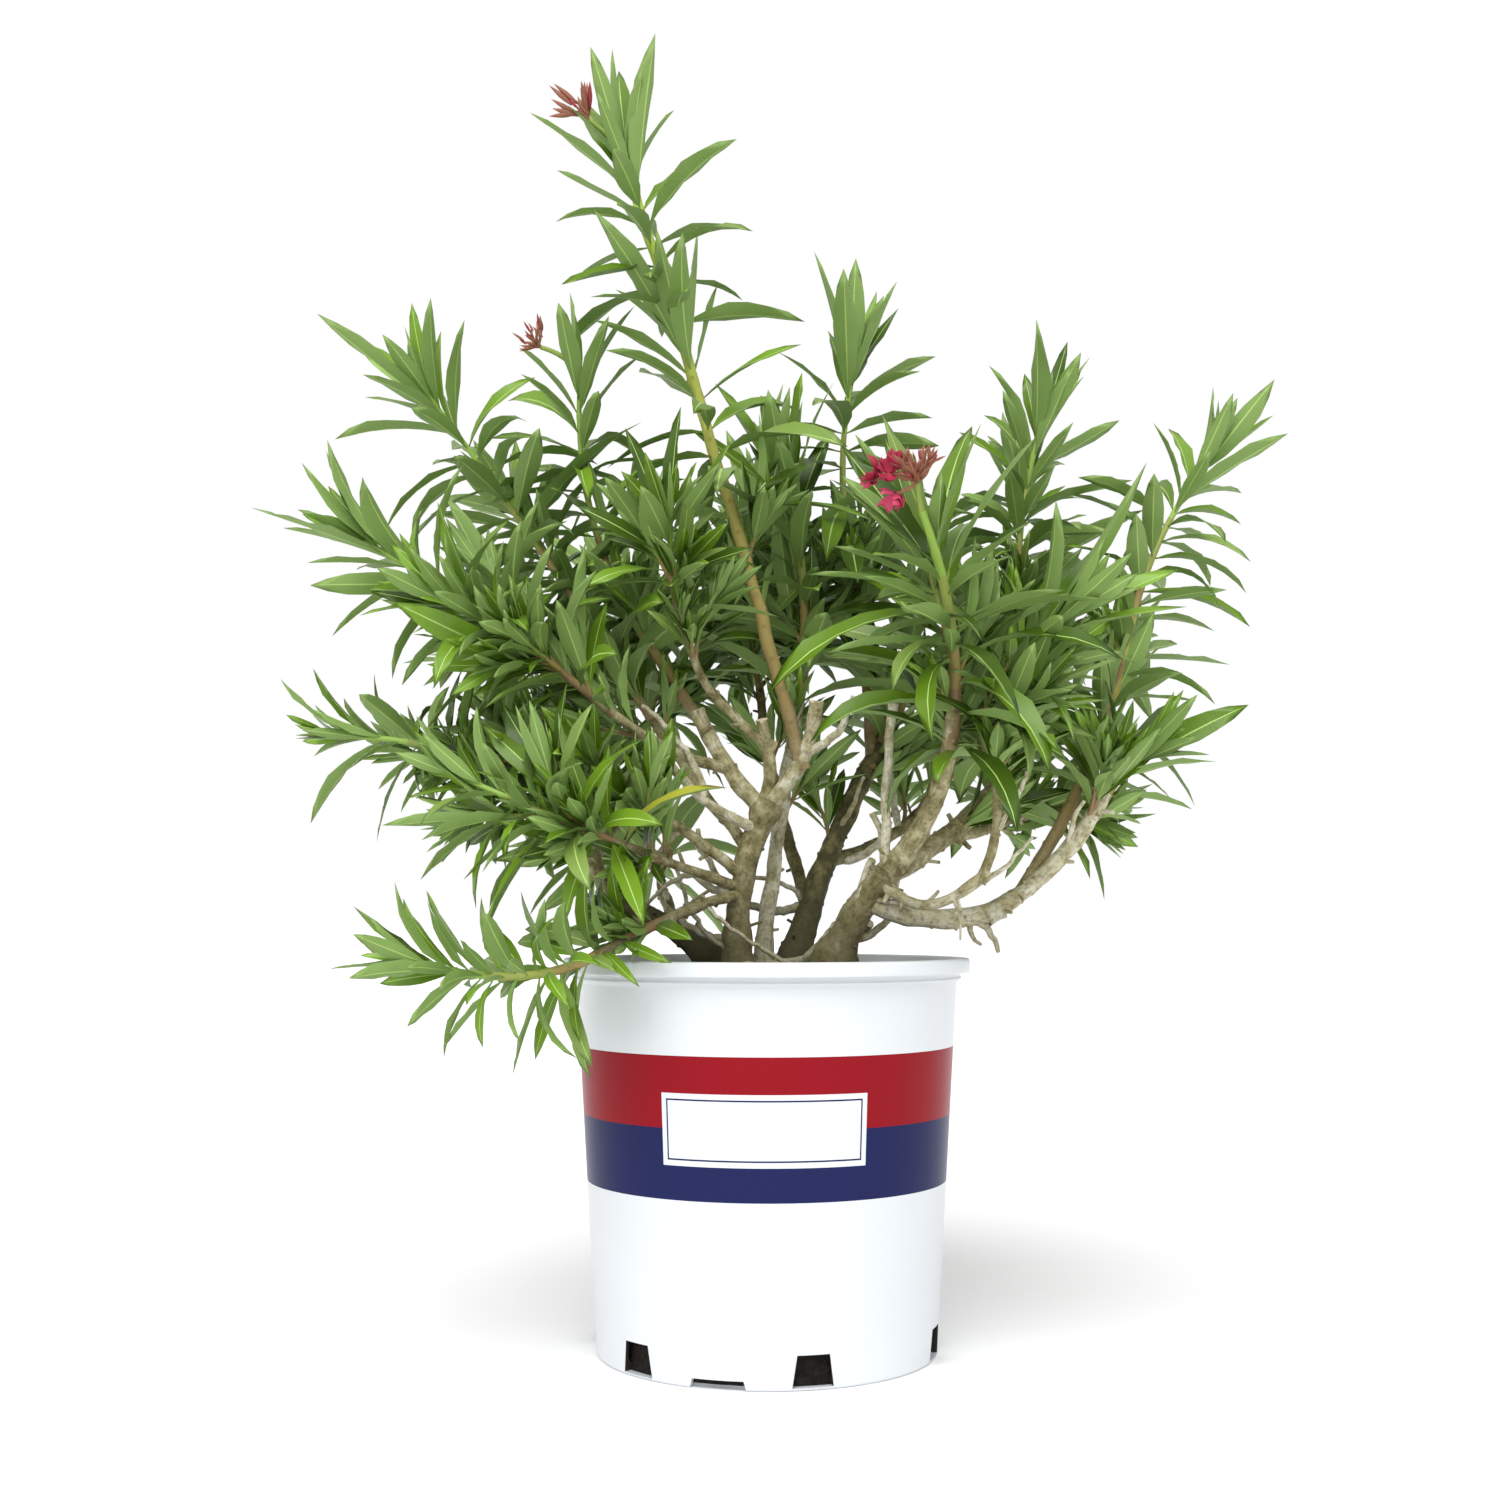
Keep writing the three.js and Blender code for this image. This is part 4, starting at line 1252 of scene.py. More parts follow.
@dataclass
class Mass:
    """A foliage mass of the frame, with the limb that it grows on."""
    name: str
    limb: Strand
    points: np.ndarray
    tree: BVHTree
    litres: float

    def stretch(self):
        """Where along the limb the mass begins and ends."""
        held = [distance for distance, point, radius in zip(
            self.limb.run, self.limb.line, self.limb.girth)
            if self.tree.find_nearest(point)[3] < radius + TOUCH or self.inside(point)]
        return (min(held), max(held)) if held else (self.limb.run[-1],) * 2

    def inside(self, point):
        """True when most rays from a point leave through the back of a face."""
        votes = 0
        for way in (UP, -UP, (1, 0, 0), (0, 1, 0), (-1, 0, 0)):
            hit, normal = self.tree.ray_cast(point, way)[:2]
            votes += hit is not None and normal.dot(Vector(way)) > 0
        return votes >= 3

    def way_out(self, start, direction):
        """The distance from a point inside to the surface."""
        hit = self.tree.ray_cast(start, direction)
        return hit[3] if hit[0] is not None else 0.0


def read_mass(name):
    """A foliage mass with its limb, its surface as a search tree, and its volume."""
    points, triangles = solid(name)
    corners = points[triangles]
    litres = abs(np.einsum("ij,ij->i", corners[:, 0], np.cross(corners[:, 1], corners[:, 2])).sum()) / 6e-3
    tree = BVHTree.FromPolygons([tuple(p) for p in points], [tuple(map(int, t)) for t in triangles])
    return Mass(name, LIMB_STRANDS[limb_of(name)], points, tree, litres)


@dataclass
class Spray:
    """A shoot with its leafy stretch: leaves sit between the distances low and high from its foot."""
    strand: Strand
    mass: str
    low: float
    size: float
    internode: float
    grown: bool
    leading: bool = False
    thinning: float = 0.4
    bare: float = 0.0
    spread: float = 1.0


def lead_spray(mass, rule, leaf):
    """The shoot that carries a limb on through the mass to its far end."""
    limb = mass.limb
    begin, stop = mass.stretch()
    habit = HABITS.get(mass.name, PLAIN_HABIT)
    internode = leaf.internode * habit.gap
    begin = max(begin - habit.below, 0.3 * limb.run[-1])
    keep = (limb.run >= begin) & (limb.run <= stop)
    if stop < limb.run[-1] - BARE_LIMB or mass.name in LONE_MASSES:
        strand = Strand(mass.name, limb.line[keep], limb.girth[keep], np.full(keep.sum(), 0.5))
        return Spray(strand, mass.name, 0.0, habit.size, internode, False, True, 0.0,
                     spread=habit.spread)
    entry = limb.at(begin)[0]
    start, heading = limb.line[-1], unit(limb.line[-1] - limb.line[-3])
    middle = mass.points.mean(axis=0)
    axis = unit(unit(middle - entry) + 0.4 * heading)
    reach = (mass.points - entry) @ axis
    corner = mass.points[reach.argmax()]
    far = middle + axis * (reach.max() - (middle - entry) @ axis)
    end = blend(far, corner, 0.6) - axis * (rule.overhang * habit.size + habit.pull)
    if (end - start) @ axis < LEAST_GROWTH:
        end = start + heading * LEAST_GROWTH
    line = bent_line(start - heading * SHOOT_ROOT, heading, end)
    girth = np.linspace(limb.girth[-1], max(rule.apex_radius, limb.girth[-1] * 0.6), len(line))
    keep[-2:] = False
    whole = np.vstack((limb.line[keep], line))
    girths = np.concatenate((limb.girth[keep], girth))
    age = np.linspace(0.45, 1.0, len(whole))
    return Spray(Strand(mass.name, whole, girths, age), mass.name, 0.0, habit.size,
                 internode, True, True, 0.4 if habit.below == 0 else 0.15, habit.bare_end, habit.spread)


def side_sprays(mass, lead, rule, leaf, rng):
    """Shoots that fork from the leading one, and end spread out through the mass."""
    sprays = []
    habit = HABITS.get(mass.name, PLAIN_HABIT)
    count = int(round(mass.litres / (rule.room * habit.room))) if mass.name not in LONE_MASSES else 0
    total = lead.strand.run[-1]
    axis = unit(lead.strand.line[-1] - lead.strand.line[0])
    side, other = across(axis)
    for number in range(count):
        turn = number * GOLDEN_ANGLE + rng.uniform(-0.5, 0.5)
        tilt = blend(rule.spread_low, rule.spread_high, ((number + 0.5) / count) ** 0.6)
        way = axis * math.cos(tilt) + (side * math.cos(turn) + other * math.sin(turn)) * math.sin(tilt)
        way = unit(way + UP * (rule.lift - habit.droop))
        start, heading = lead.strand.at(total * rng.uniform(*SIDE_STARTS) * math.cos(tilt))
        room = mass.way_out(start + way * 2 * MM, way)
        if room < LEAST_ROOM:
            continue
        size = rng.uniform(*SIDE_SIZES) * habit.size
        shortest, longest = SIDE_LENGTHS
        length = min(max(room - rule.overhang * size * 0.8 - habit.pull, shortest), longest)
        sag = rng.normal(0, SIDE_STRAY, 3)
        line = bent_line(start, unit(heading + way * 0.8 + sag), start + way * length)
        girth = np.linspace(blend(rule.shoot_radius * 0.7, rule.shoot_radius, length / longest),
                            rule.apex_radius * size, len(line))
        age = np.linspace(0.5, 1.0, len(line))
        sprays.append(Spray(Strand(mass.name, line, girth, age), mass.name,
                            length * 0.08, size, leaf.internode * size * habit.gap, True,
                            spread=habit.spread))
    return sprays


def low_sprays(mass, rule, leaf, rng):
    """Short twigs with small leaves on the bare part of the limb below its mass."""
    sprays = []
    begin = mass.stretch()[0]
    for _ in range(rule.low_twigs if mass.name not in LONE_MASSES else 0):
        start, heading = mass.limb.at(begin * rng.uniform(*LOW_STARTS))
        if start[2] < SOIL_HIGH.z + LOW_CLEAR:
            continue
        side, other = across(heading)
        turn = rng.uniform(0, FULL_TURN)
        way = unit(heading * 0.8 + side * math.cos(turn) + other * math.sin(turn) + UP * 0.6)
        length = rng.uniform(*LOW_LENGTHS) * MM
        line = bent_line(start, unit(heading + way), start + way * length)
        girth = np.linspace(1.9 * MM, 1.2 * MM, len(line))
        size = rng.uniform(*LOW_SIZES)
        sprays.append(Spray(Strand(mass.name, line, girth, np.linspace(0.3, 0.9, len(line))),
                            mass.name, length * 0.3, size, leaf.internode * 0.7, True))
    return sprays


def all_sprays(settings):
    """Every leafy shoot of the plant. Each mass draws its own chances, so one can change alone."""
    rule, leaf = settings.growth, settings.leaf
    sprays = []
    for number, name in enumerate(MASSES):
        mass = read_mass(name)
        rng = np.random.default_rng((rule.seed, number))
        lead = lead_spray(mass, rule, leaf)
        sprays.append(lead)
        sprays += side_sprays(mass, lead, rule, leaf, rng)
        sprays += low_sprays(mass, rule, leaf, rng)
    return sprays


# ---------------------------------------------------------------- twigs

def twig_paint(name, colour):
    """Young oleander stem: smooth, waxy skin with a soft sheen and a shallow, fine grain."""
    return grained_material(name, 2 * MM, 0.25, 0.3 * MM, {
        "Base Color": linear(colour), "Roughness": 0.5, "IOR": 1.45})


# Each paint's name and colour, and the age from which it covers a shoot.
TWIG_COLOURS = (
    ("twig_tan", "#8d7450", ANY_AGE), ("twig_straw", "#99884e", 0.6),
    ("twig_olive", "#8f9a48", 0.72), ("twig_lime", "#8fb04c", 0.86))


class OLEANDER_OT_twigs(bpy.types.Operator):
    """Grows the shoots that carry the leaves on from the boughs"""
    bl_idname = "oleander.twigs"
    bl_label = "Shoots"

    def execute(self, context):
        sprays = [spray for spray in all_sprays(context.scene.oleander) if spray.grown]
        paints = [(twig_paint(name, colour), youngest) for name, colour, youngest in TWIG_COLOURS]
        mesh = strand_mesh("shoots", [spray.strand for spray in sprays])
        piece = shaped("shoots", mesh, bark_tree(paints), {
            "Sides": SHOOT_SIDES, "Lumps": 0.08, "Ridges": 0.0, "Scars": 0.2, "Scar spacing": 14 * MM})
        attach(piece, "green_bark")
        return {"FINISHED"}


# ---------------------------------------------------------------- leaves

# A leaf's stations along its length, and its section at each: how far across, and which face.
BLADE_STATIONS = (0.0, 0.05, 0.13, 0.26, 0.40, 0.55, 0.70, 0.86)
BLADE_RING = ((-1.0, 0), (-0.06, 1), (0.06, 1), (1.0, 0), (0.06, -1), (-0.06, -1))
# The leaf's half width, as a share of its widest, at shares of its length.
BLADE_OUTLINE = ((0.0, 0.07), (0.05, 0.10), (0.13, 0.38), (0.26, 0.76), (0.40, 0.97), (0.52, 1.0),
                 (0.70, 0.86), (0.86, 0.52), (1.0, 0.0))
UPPER, UPPER_RIB, LOWER, LOWER_RIB = range(4)
RING_PARTS = (UPPER, UPPER_RIB, UPPER, LOWER, LOWER_RIB, LOWER)
# Both skins of a leaf are cut from the margin to the next station's rib, so they never cross.
MARGIN_FIRST = 0, 1, 3
LIME, FRESH, GREEN, DEEP, GREY_GREEN, YELLOW = range(6)
LEAF_TINTS = ("#7da436", "#6a8e1f", "#5a7a16", "#3e590d", "#769044", "#a5a63a")
LEAF_NAMES = ("leaf_lime", "leaf_fresh", "leaf_green", "leaf_deep", "leaf_grey_green", "leaf_yellow")
LEAF_NUMBERS = ("length", "width", "fold", "arch", "twist", "wave")


def blade_shape():
    """One leaf as a flat, closed strip of a few dozen faces, told only by shares of its size."""
    along, round_it, side, faces, parts = [], [], [], [], []
    for station in BLADE_STATIONS:
        for share, face in BLADE_RING:
            along.append(station)
            round_it.append(share)
            side.append(face)
    tip = len(along)
    along.append(1.0)
    round_it.append(0.0)
    side.append(0.0)
    sides = len(BLADE_RING)
    for station in range(len(BLADE_STATIONS)):
        here = station * sides
        for n in range(sides):
            after = (n + 1) % sides
            near = here + n, here + after
            if station == len(BLADE_STATIONS) - 1:
                halves = [(*near, tip)]
            elif n in MARGIN_FIRST:
                halves = [(*near, near[1] + sides), (near[0], near[1] + sides, near[0] + sides)]
            else:
                halves = [(*near, near[0] + sides), (near[1], near[1] + sides, near[0] + sides)]
            faces += halves
            parts += [RING_PARTS[n]] * len(halves)
    faces.append(tuple(reversed(range(sides))))
    parts.append(LOWER)
    points = [(a, r * 0.1, s * 0.01) for a, r, s in zip(along, round_it, side)]
    mesh = mesh_of("blade", points, faces=faces, attributes={
        "along": ("FLOAT", along), "across": ("FLOAT", round_it), "side": ("FLOAT", side)})
    layer = mesh.attributes.new("part", "INT", "FACE")
    layer.data.foreach_set("value", parts)
    for edge in mesh.edges:
        edge.use_edge_sharp = abs(sum(round_it[n] for n in edge.vertices)) == 2
    return placed("blade", mesh)


def leaf_tree(tints, rib, underside):
    """Bends a copy of the blade to each leaf's own length, width, fold, arch and twist."""
    tree, given = shape_tree("leaves", {
        "Blade": ("Object", None), "Thickness": ("Float", 0.35 * MM), "Rib": ("Float", 0.5 * MM)})
    blade = add(tree, "GeometryNodeObjectInfo", {"Object": given["Blade"]}).outputs["Geometry"]
    copies = add(tree, "GeometryNodeInstanceOnPoints", {"Points": given["Geometry"], "Instance": blade})
    leaves = add(tree, "GeometryNodeRealizeInstances", {"Geometry": copies})
    along, over, side, length, width, fold, arch, twist, wave = (
        add(tree, "GeometryNodeInputNamedAttribute", {"Name": name}, data_type="FLOAT")
        for name in ("along", "across", "side", *LEAF_NUMBERS))
    turn, seat, tint, part = (
        add(tree, "GeometryNodeInputNamedAttribute", {"Name": name}, data_type=kind)
        for name, kind in (("turn", "QUATERNION"), ("seat", "FLOAT_VECTOR"), ("tint", "INT"),
                           ("part", "INT")))

    outline = add(tree, "ShaderNodeFloatCurve", {"Value": along})
    curve = outline.mapping.curves[0]
    for x, y in BLADE_OUTLINE[1:-1]:
        curve.points.new(x, y)
    curve.points[0].location = BLADE_OUTLINE[0]
    curve.points[-1].location = BLADE_OUTLINE[-1]
    outline.mapping.update()

    # The two halves fold up from the rib, and the margin ripples.
    half = add(tree, "ShaderNodeMath", (outline, width), operation="MULTIPLY")
    out = add(tree, "ShaderNodeMath", (over, half), operation="MULTIPLY")
    off = add(tree, "ShaderNodeMath", (out,), operation="ABSOLUTE")
    cosine, sine = (add(tree, "ShaderNodeMath", (fold,), operation=kind) for kind in ("COSINE", "SINE"))
    y = add(tree, "ShaderNodeMath", (out, cosine), operation="MULTIPLY")
    lifted = add(tree, "ShaderNodeMath", (off, sine), operation="MULTIPLY")
    phase = add(tree, "ShaderNodeMath", (along, wave), operation="MULTIPLY")
    ripple = add(tree, "ShaderNodeMath", (phase,), operation="SINE")
    for share in (out, 0.12):
        ripple = add(tree, "ShaderNodeMath", (ripple, share), operation="MULTIPLY")

    # The thickness fades to the margin, and the rib below fades to the tip.
    spread = add(tree, "ShaderNodeMath", (over,), operation="ABSOLUTE")
    centre = add(tree, "ShaderNodeMath", (1.0, spread), operation="SUBTRACT")
    thick = side
    for share in (centre, given["Thickness"]):
        thick = add(tree, "ShaderNodeMath", (thick, share), operation="MULTIPLY")
    keel = add(tree, "ShaderNodeMath", (side, 0.0), operation="MINIMUM")
    beyond = add(tree, "ShaderNodeMath", (1.0, along), operation="SUBTRACT")
    for share in (given["Rib"], beyond):
        keel = add(tree, "ShaderNodeMath", (keel, share), operation="MULTIPLY")
    lifted = add(tree, "ShaderNodeMath", (lifted, ripple), operation="ADD")
    thick = add(tree, "ShaderNodeMath", (thick, keel), operation="ADD")
    z = add(tree, "ShaderNodeMath", (lifted, thick), operation="ADD")

    # The section twists along the leaf and turns with its arch.
    section = add(tree, "ShaderNodeCombineXYZ", {"Y": y, "Z": z})
    angle = add(tree, "ShaderNodeMath", (twist, along), operation="MULTIPLY")
    section = add(tree, "ShaderNodeVectorRotate", {"Vector": section, "Angle": angle},
                  rotation_type="X_AXIS")
    bend = add(tree, "ShaderNodeMath", (arch, along), operation="MULTIPLY")
    section = add(tree, "ShaderNodeVectorRotate", {"Vector": section, "Angle": bend},
                  rotation_type="Y_AXIS")
    radius = add(tree, "ShaderNodeMath", (length, arch), operation="DIVIDE")
    cosine, sine = (add(tree, "ShaderNodeMath", (bend,), operation=kind) for kind in ("COSINE", "SINE"))
    x = add(tree, "ShaderNodeMath", (radius, sine), operation="MULTIPLY")
    fallen = add(tree, "ShaderNodeMath", (cosine, 1.0), operation="SUBTRACT")
    drop = add(tree, "ShaderNodeMath", (radius, fallen), operation="MULTIPLY")
    middle = add(tree, "ShaderNodeCombineXYZ", {"X": x, "Z": drop})
    local = add(tree, "ShaderNodeVectorMath", (middle, section), operation="ADD")
    turned = add(tree, "FunctionNodeRotateVector", {"Vector": local, "Rotation": turn})
    spot = add(tree, "ShaderNodeVectorMath", (seat, turned), operation="ADD")
    leaves = add(tree, "GeometryNodeSetPosition", {"Geometry": leaves, "Position": spot})

    # Flat coordinates in metres, for the side veins.
    distance = add(tree, "ShaderNodeMath", (along, length), operation="MULTIPLY")
    flat = add(tree, "ShaderNodeCombineXYZ", {"X": out, "Y": distance})
    leaves = add(tree, "GeometryNodeStoreNamedAttribute", {
        "Geometry": leaves, "Name": "UVMap", "Value": flat}, data_type="FLOAT2", domain="CORNER")
    painted = []
    for key, value, material in (*[(tint, number, paint) for number, paint in enumerate(tints)],
                                 (part, LOWER, underside), (part, UPPER_RIB, rib),
                                 (part, LOWER_RIB, rib)):
        same = add(tree, "FunctionNodeCompare", {2: key, 3: value}, data_type="INT",
                   operation="EQUAL")
        painted.append((material, same))
    finish_shape(tree, leaves, painted)
    return tree


def leaf_paint(name, colour, roughness):
    """Leathery evergreen leaf: a waxy skin, matt beneath, with fine side veins square to the rib.

    Real veins are under a millimetre apart, so they are drawn about twice as coarse to show.
    """
    material, tree = material_tree(name)
    place = add(tree, "ShaderNodeUVMap", uv_map="UVMap")
    veins = add(tree, "ShaderNodeTexWave", {
        "Vector": place, "Scale": 1 / (12 * MM), "Distortion": 0.6}, bands_direction="Y")
    bump = add(tree, "ShaderNodeBump", {
        "Height": veins.outputs["Fac"], "Strength": 0.2, "Distance": 0.12 * MM})
    finish_material(tree, {"Base Color": linear(colour), "Roughness": roughness, "IOR": 1.44,
                           "Normal": bump})
    return material


@dataclass
class Leaf:
    """One leaf: where it sits, how it is turned, and its own form."""
    seat: np.ndarray
    turn: Quaternion
    length: float
    width: float
    fold: float
    arch: float
    twist: float
    wave: float
    tint: int

    def end(self):
        """About where the tip of the leaf comes."""
        reach = self.length / self.arch
        local = Vector((reach * math.sin(self.arch), 0, reach * (math.cos(self.arch) - 1)))
        return np.array(self.turn @ local) + self.seat


def leaf_turn(forward, normal):
    """The rotation that lays a leaf's length along forward with its upper side to normal."""
    forward = unit(forward)
    side = unit(np.cross(normal, forward))
    upper = np.cross(forward, side)
    return Matrix((forward, side, upper)).transposed().to_quaternion()


# How the leaves differ by chance: how many are skipped, how far each strays in radians, and its
# length, width, fold, arch, twist and waves.
SKIPPED, TURN_STRAY, ANGLE_STRAY, FACING_STRAY = 0.04, 0.17, 0.12, 0.34
LENGTHS, WIDTHS, FOLDS, ARCHES = (0.74, 1.14), (0.8, 1.12), (0.3, 1.9), (0.2, 1.7)
LONG_LEAVES, LONG_LEAF = 0.1, 1.25
TWIST_STRAY, WAVES = 0.6, (8, 22)
# Distances back from a shoot's end over which its leaves age, lengthen and space out.
AGEING, LENGTHENING, SPACING_OUT = (-12 * MM, 85 * MM), 16 * MM, 40 * MM
PETIOLE = 1.2 * MM


def spray_leaves(spray, leaf, rng):
    """Whorls of three from the shoot's end down, each turned half a gap from the last."""
    strand = spray.strand
    total = strand.run[-1]
    habit = HABITS.get(spray.mass, PLAIN_HABIT)
    shade = rng.uniform(-0.7, 0.7) + habit.shade
    vigour = spray.size * rng.uniform(0.92, 1.08)
    turn = rng.uniform(0, FULL_TURN)
    leaves = []
    back = max(spray.bare, 1 * MM)
    while back < total - spray.low:
        point, axis = strand.at(total - back)
        side, other = across(axis)
        age = smooth_step(back, *AGEING)
        for number in range(3):
            if rng.random() < SKIPPED + spray.thinning * smooth_step(back, 0.7 * total, total * 1.1):
                continue
            heading = turn + number * FULL_TURN / 3 + rng.normal(0, TURN_STRAY)
            outward = side * math.cos(heading) + other * math.sin(heading)
            angle = blend(leaf.top_angle, leaf.low_angle * spray.spread, age)
            angle += rng.normal(0, ANGLE_STRAY)
            forward = axis * math.cos(angle) + outward * math.sin(angle)
            forward = unit(forward + UP * leaf.rise * (1 - age))
            normal = unit(axis - forward * (axis @ forward)) + UP * (0.1 + 0.8 * age)
            normal = normal + rng.normal(0, FACING_STRAY, 3)
            length = leaf.length * vigour * rng.uniform(*LENGTHS)
            length *= LONG_LEAF if rng.random() < LONG_LEAVES else 1
            length *= blend(habit.tip, 1.0, smooth_step(back, 0, LENGTHENING))
            arch = leaf.arch * (age * rng.uniform(*ARCHES) + rng.normal(0, 0.15))
            arch = math.copysign(max(abs(arch), 0.03), arch)
            leaves.append(Leaf(
                seat=point + outward * PETIOLE,
                turn=leaf_turn(forward, normal),
                length=length,
                width=leaf.width * (0.1 + 0.9 * length / leaf.length) * rng.uniform(*WIDTHS) / 2,
                fold=leaf.fold * rng.uniform(*FOLDS),
                arch=arch,
                twist=rng.normal(0, TWIST_STRAY),
                wave=rng.uniform(*WAVES),
                tint=leaf_tint(back, shade + (-0.25 if spray.leading else 0.45), rng)))
        turn += math.pi / 3 + rng.normal(0, 0.06)
        gap = blend(leaf.top_internode, spray.internode, smooth_step(back, 0, SPACING_OUT))
        back += gap * rng.uniform(0.85, 1.15)
    return leaves


# How often a leaf is yellow, young or greyish, how far back from a shoot's end, and where the rest
# darken.
YELLOWS, YELLOW_BACK, YOUNG_BACK, YOUNG_SHARE = 0.003, 60 * MM, 18 * MM, 0.5
LIMES, GREYS, DARKENING, MEAN_DEPTH = 0.55, 0.12, (10 * MM, 110 * MM), 1.55


def leaf_tint(back, shade, rng):
    """Lime at a shoot's end, then fresh green, then green or deep green, and a rare yellow one."""
    if back > YELLOW_BACK and rng.random() < YELLOWS:
        return YELLOW
    if back < YOUNG_BACK and rng.random() < YOUNG_SHARE - 0.6 * shade:
        return LIME if rng.random() < LIMES else FRESH
    if rng.random() < GREYS:
        return GREY_GREEN
    depth = MEAN_DEPTH + 0.7 * smooth_step(back, *DARKENING) + shade + rng.normal(0, 0.7)
    return int(min(max(round(depth), FRESH), DEEP))


# How far a leaf may pass the frame's box, hang under the rim, and reach out from its seat.
BOX_SPARE, UNDER_RIM, SEAT_SPARE = 8 * MM, 6 * MM, 10 * MM


def fits(leaf, clear):
    """True for a leaf that stays in the frame's box and, below the rim, clear of the pot."""
    end = leaf.end()
    if any(end[n] < CAD_BOX[0][n] - BOX_SPARE or end[n] > CAD_BOX[1][n] + BOX_SPARE
           for n in range(3)):
        return False
    low = min(end[2], leaf.seat[2])
    out = min(np.hypot(*end[:2]), np.hypot(*leaf.seat[:2]) + SEAT_SPARE)
    return low > POT_HEIGHT - UNDER_RIM or out > RIM_RADIUS + clear


LEAF_PIECES = ("left_leaves", "right_leaves", "rear_leaves")
PIECE_LIMIT = 200_000
# Where the rear piece starts, and where the other two part.
REAR_FROM, RIGHT_FROM = 55 * MM, 10 * MM
LEAF_SEED = 1000


def leaf_piece_of(name):
    """Which joined piece a mass's leaves go to."""
    middle = solid(name)[0].mean(axis=0)
    if middle[1] > REAR_FROM:
        return "rear_leaves"
    return "left_leaves" if middle[0] < RIGHT_FROM else "right_leaves"


class OLEANDER_OT_leaves(bpy.types.Operator):
    """Clothes every shoot in whorls of leaves, in place of the foliage masses"""
    bl_idname = "oleander.leaves"
    bl_label = "Leaves"

    def execute(self, context):
        settings = context.scene.oleander
        groups = {name: [] for name in LEAF_PIECES}
        homes = {name: leaf_piece_of(name) for name in MASSES}
        for number, spray in enumerate(all_sprays(settings)):
            rng = np.random.default_rng((settings.growth.seed, LEAF_SEED + number))
            grown = spray_leaves(spray, settings.leaf, rng)
            clear = HABITS.get(spray.mass, PLAIN_HABIT).clear
            groups[homes[spray.mass]] += [leaf for leaf in grown if fits(leaf, clear)]
        tints = [leaf_paint(name, colour, 0.37) for name, colour in zip(LEAF_NAMES, LEAF_TINTS)]
        tree = leaf_tree(tints, leaf_paint("leaf_rib", "#a9c66c", 0.5),
                         leaf_paint("leaf_underside", "#7c9950", 0.6))
        blade = blade_shape()
        for name, leaves in groups.items():
            mesh = mesh_of(name, [leaf.seat for leaf in leaves], attributes={
                "seat": ("FLOAT_VECTOR", [leaf.seat for leaf in leaves]),
                "turn": ("QUATERNION", [tuple(leaf.turn) for leaf in leaves]),
                "tint": ("INT", [leaf.tint for leaf in leaves]),
                **{key: ("FLOAT", [getattr(leaf, key) for leaf in leaves])
                   for key in LEAF_NUMBERS}})
            piece = shaped(name, mesh, tree, {"Blade": blade})
            piece.data.calc_loop_triangles()
            faces = len(piece.data.loop_triangles)
            if faces > PIECE_LIMIT:
                raise RuntimeError(f"{name} has {faces} triangles, over {PIECE_LIMIT}")
            attach(piece, "leaves", *[mass for mass in MASSES if homes[mass] == name])
        bpy.data.objects.remove(blade)
        return {"FINISHED"}


# ---------------------------------------------------------------- blossom

# A bud's sides, and its heights and radii as shares of its length.
BUD_SIDES = 7
BUD_PROFILE = ((0.0, 0.16), (0.12, 0.3), (0.3, 0.46), (0.5, 0.5), (0.72, 0.34), (0.9, 0.13))


def bud_shape():
    """A closed, pointed bud that stands one unit high."""
    turns = [FULL_TURN * n / BUD_SIDES for n in range(BUD_SIDES)]
    points = [(r * math.cos(turn), r * math.sin(turn), z) for z, r in BUD_PROFILE for turn in turns]
    points += [(0, 0, 1.0), (0, 0, 0)]
    faces = []
    top = (len(BUD_PROFILE) - 1) * BUD_SIDES
    for ring in range(0, top, BUD_SIDES):
        for n in range(BUD_SIDES):
            near, after = ring + n, ring + (n + 1) % BUD_SIDES
            faces.append((near, after, after + BUD_SIDES, near + BUD_SIDES))
    for n in range(BUD_SIDES):
        after = (n + 1) % BUD_SIDES
        faces.append((top + n, top + after, len(points) - 2))
        faces.append((after, n, len(points) - 1))
    return placed("bud", mesh_of("bud", points, faces=faces))


PETAL_ROWS = 6
PETAL_COLUMNS = 5
PETAL_THICKNESS = 0.03


def petal_shape():
    """A thin closed petal, narrow at its foot, with a cupped and frilled end."""
    points, faces = [], []
    rows, columns = PETAL_ROWS + 1, PETAL_COLUMNS
    for face in (0.5, -0.5):
        for row in range(rows):
            share = row / PETAL_ROWS
            half = 0.12 + 0.38 * math.sin(math.pi * min(share, 0.78) * 0.64)
            for column in range(columns):
                sideways = column / (columns - 1) * 2 - 1
                end = share * (1 - 0.12 * sideways ** 2 * share)
                cup = 0.2 * sideways ** 2 * share + 0.34 * share ** 2
                frill = 0.07 * share * math.sin(sideways * 7)
                points.append((half * sideways, end * 0.92, cup + frill + face * PETAL_THICKNESS))
    back = rows * columns
    for row in range(rows - 1):
        for column in range(columns - 1):
            a = row * columns + column
            quad = (a, a + 1, a + columns + 1, a + columns)
            faces.append(quad)
            faces.append(tuple(back + n for n in reversed(quad)))
    rim = [*range(columns)]
    rim += [row * columns + columns - 1 for row in range(1, rows)]
    rim += [(rows - 1) * columns + n for n in reversed(range(columns - 1))]
    rim += [row * columns for row in reversed(range(1, rows - 1))]
    for n, here in enumerate(rim):
        there = rim[(n + 1) % len(rim)]
        faces.append((there, here, back + here, back + there))
    return placed("petal", mesh_of("petal", points, faces=faces))


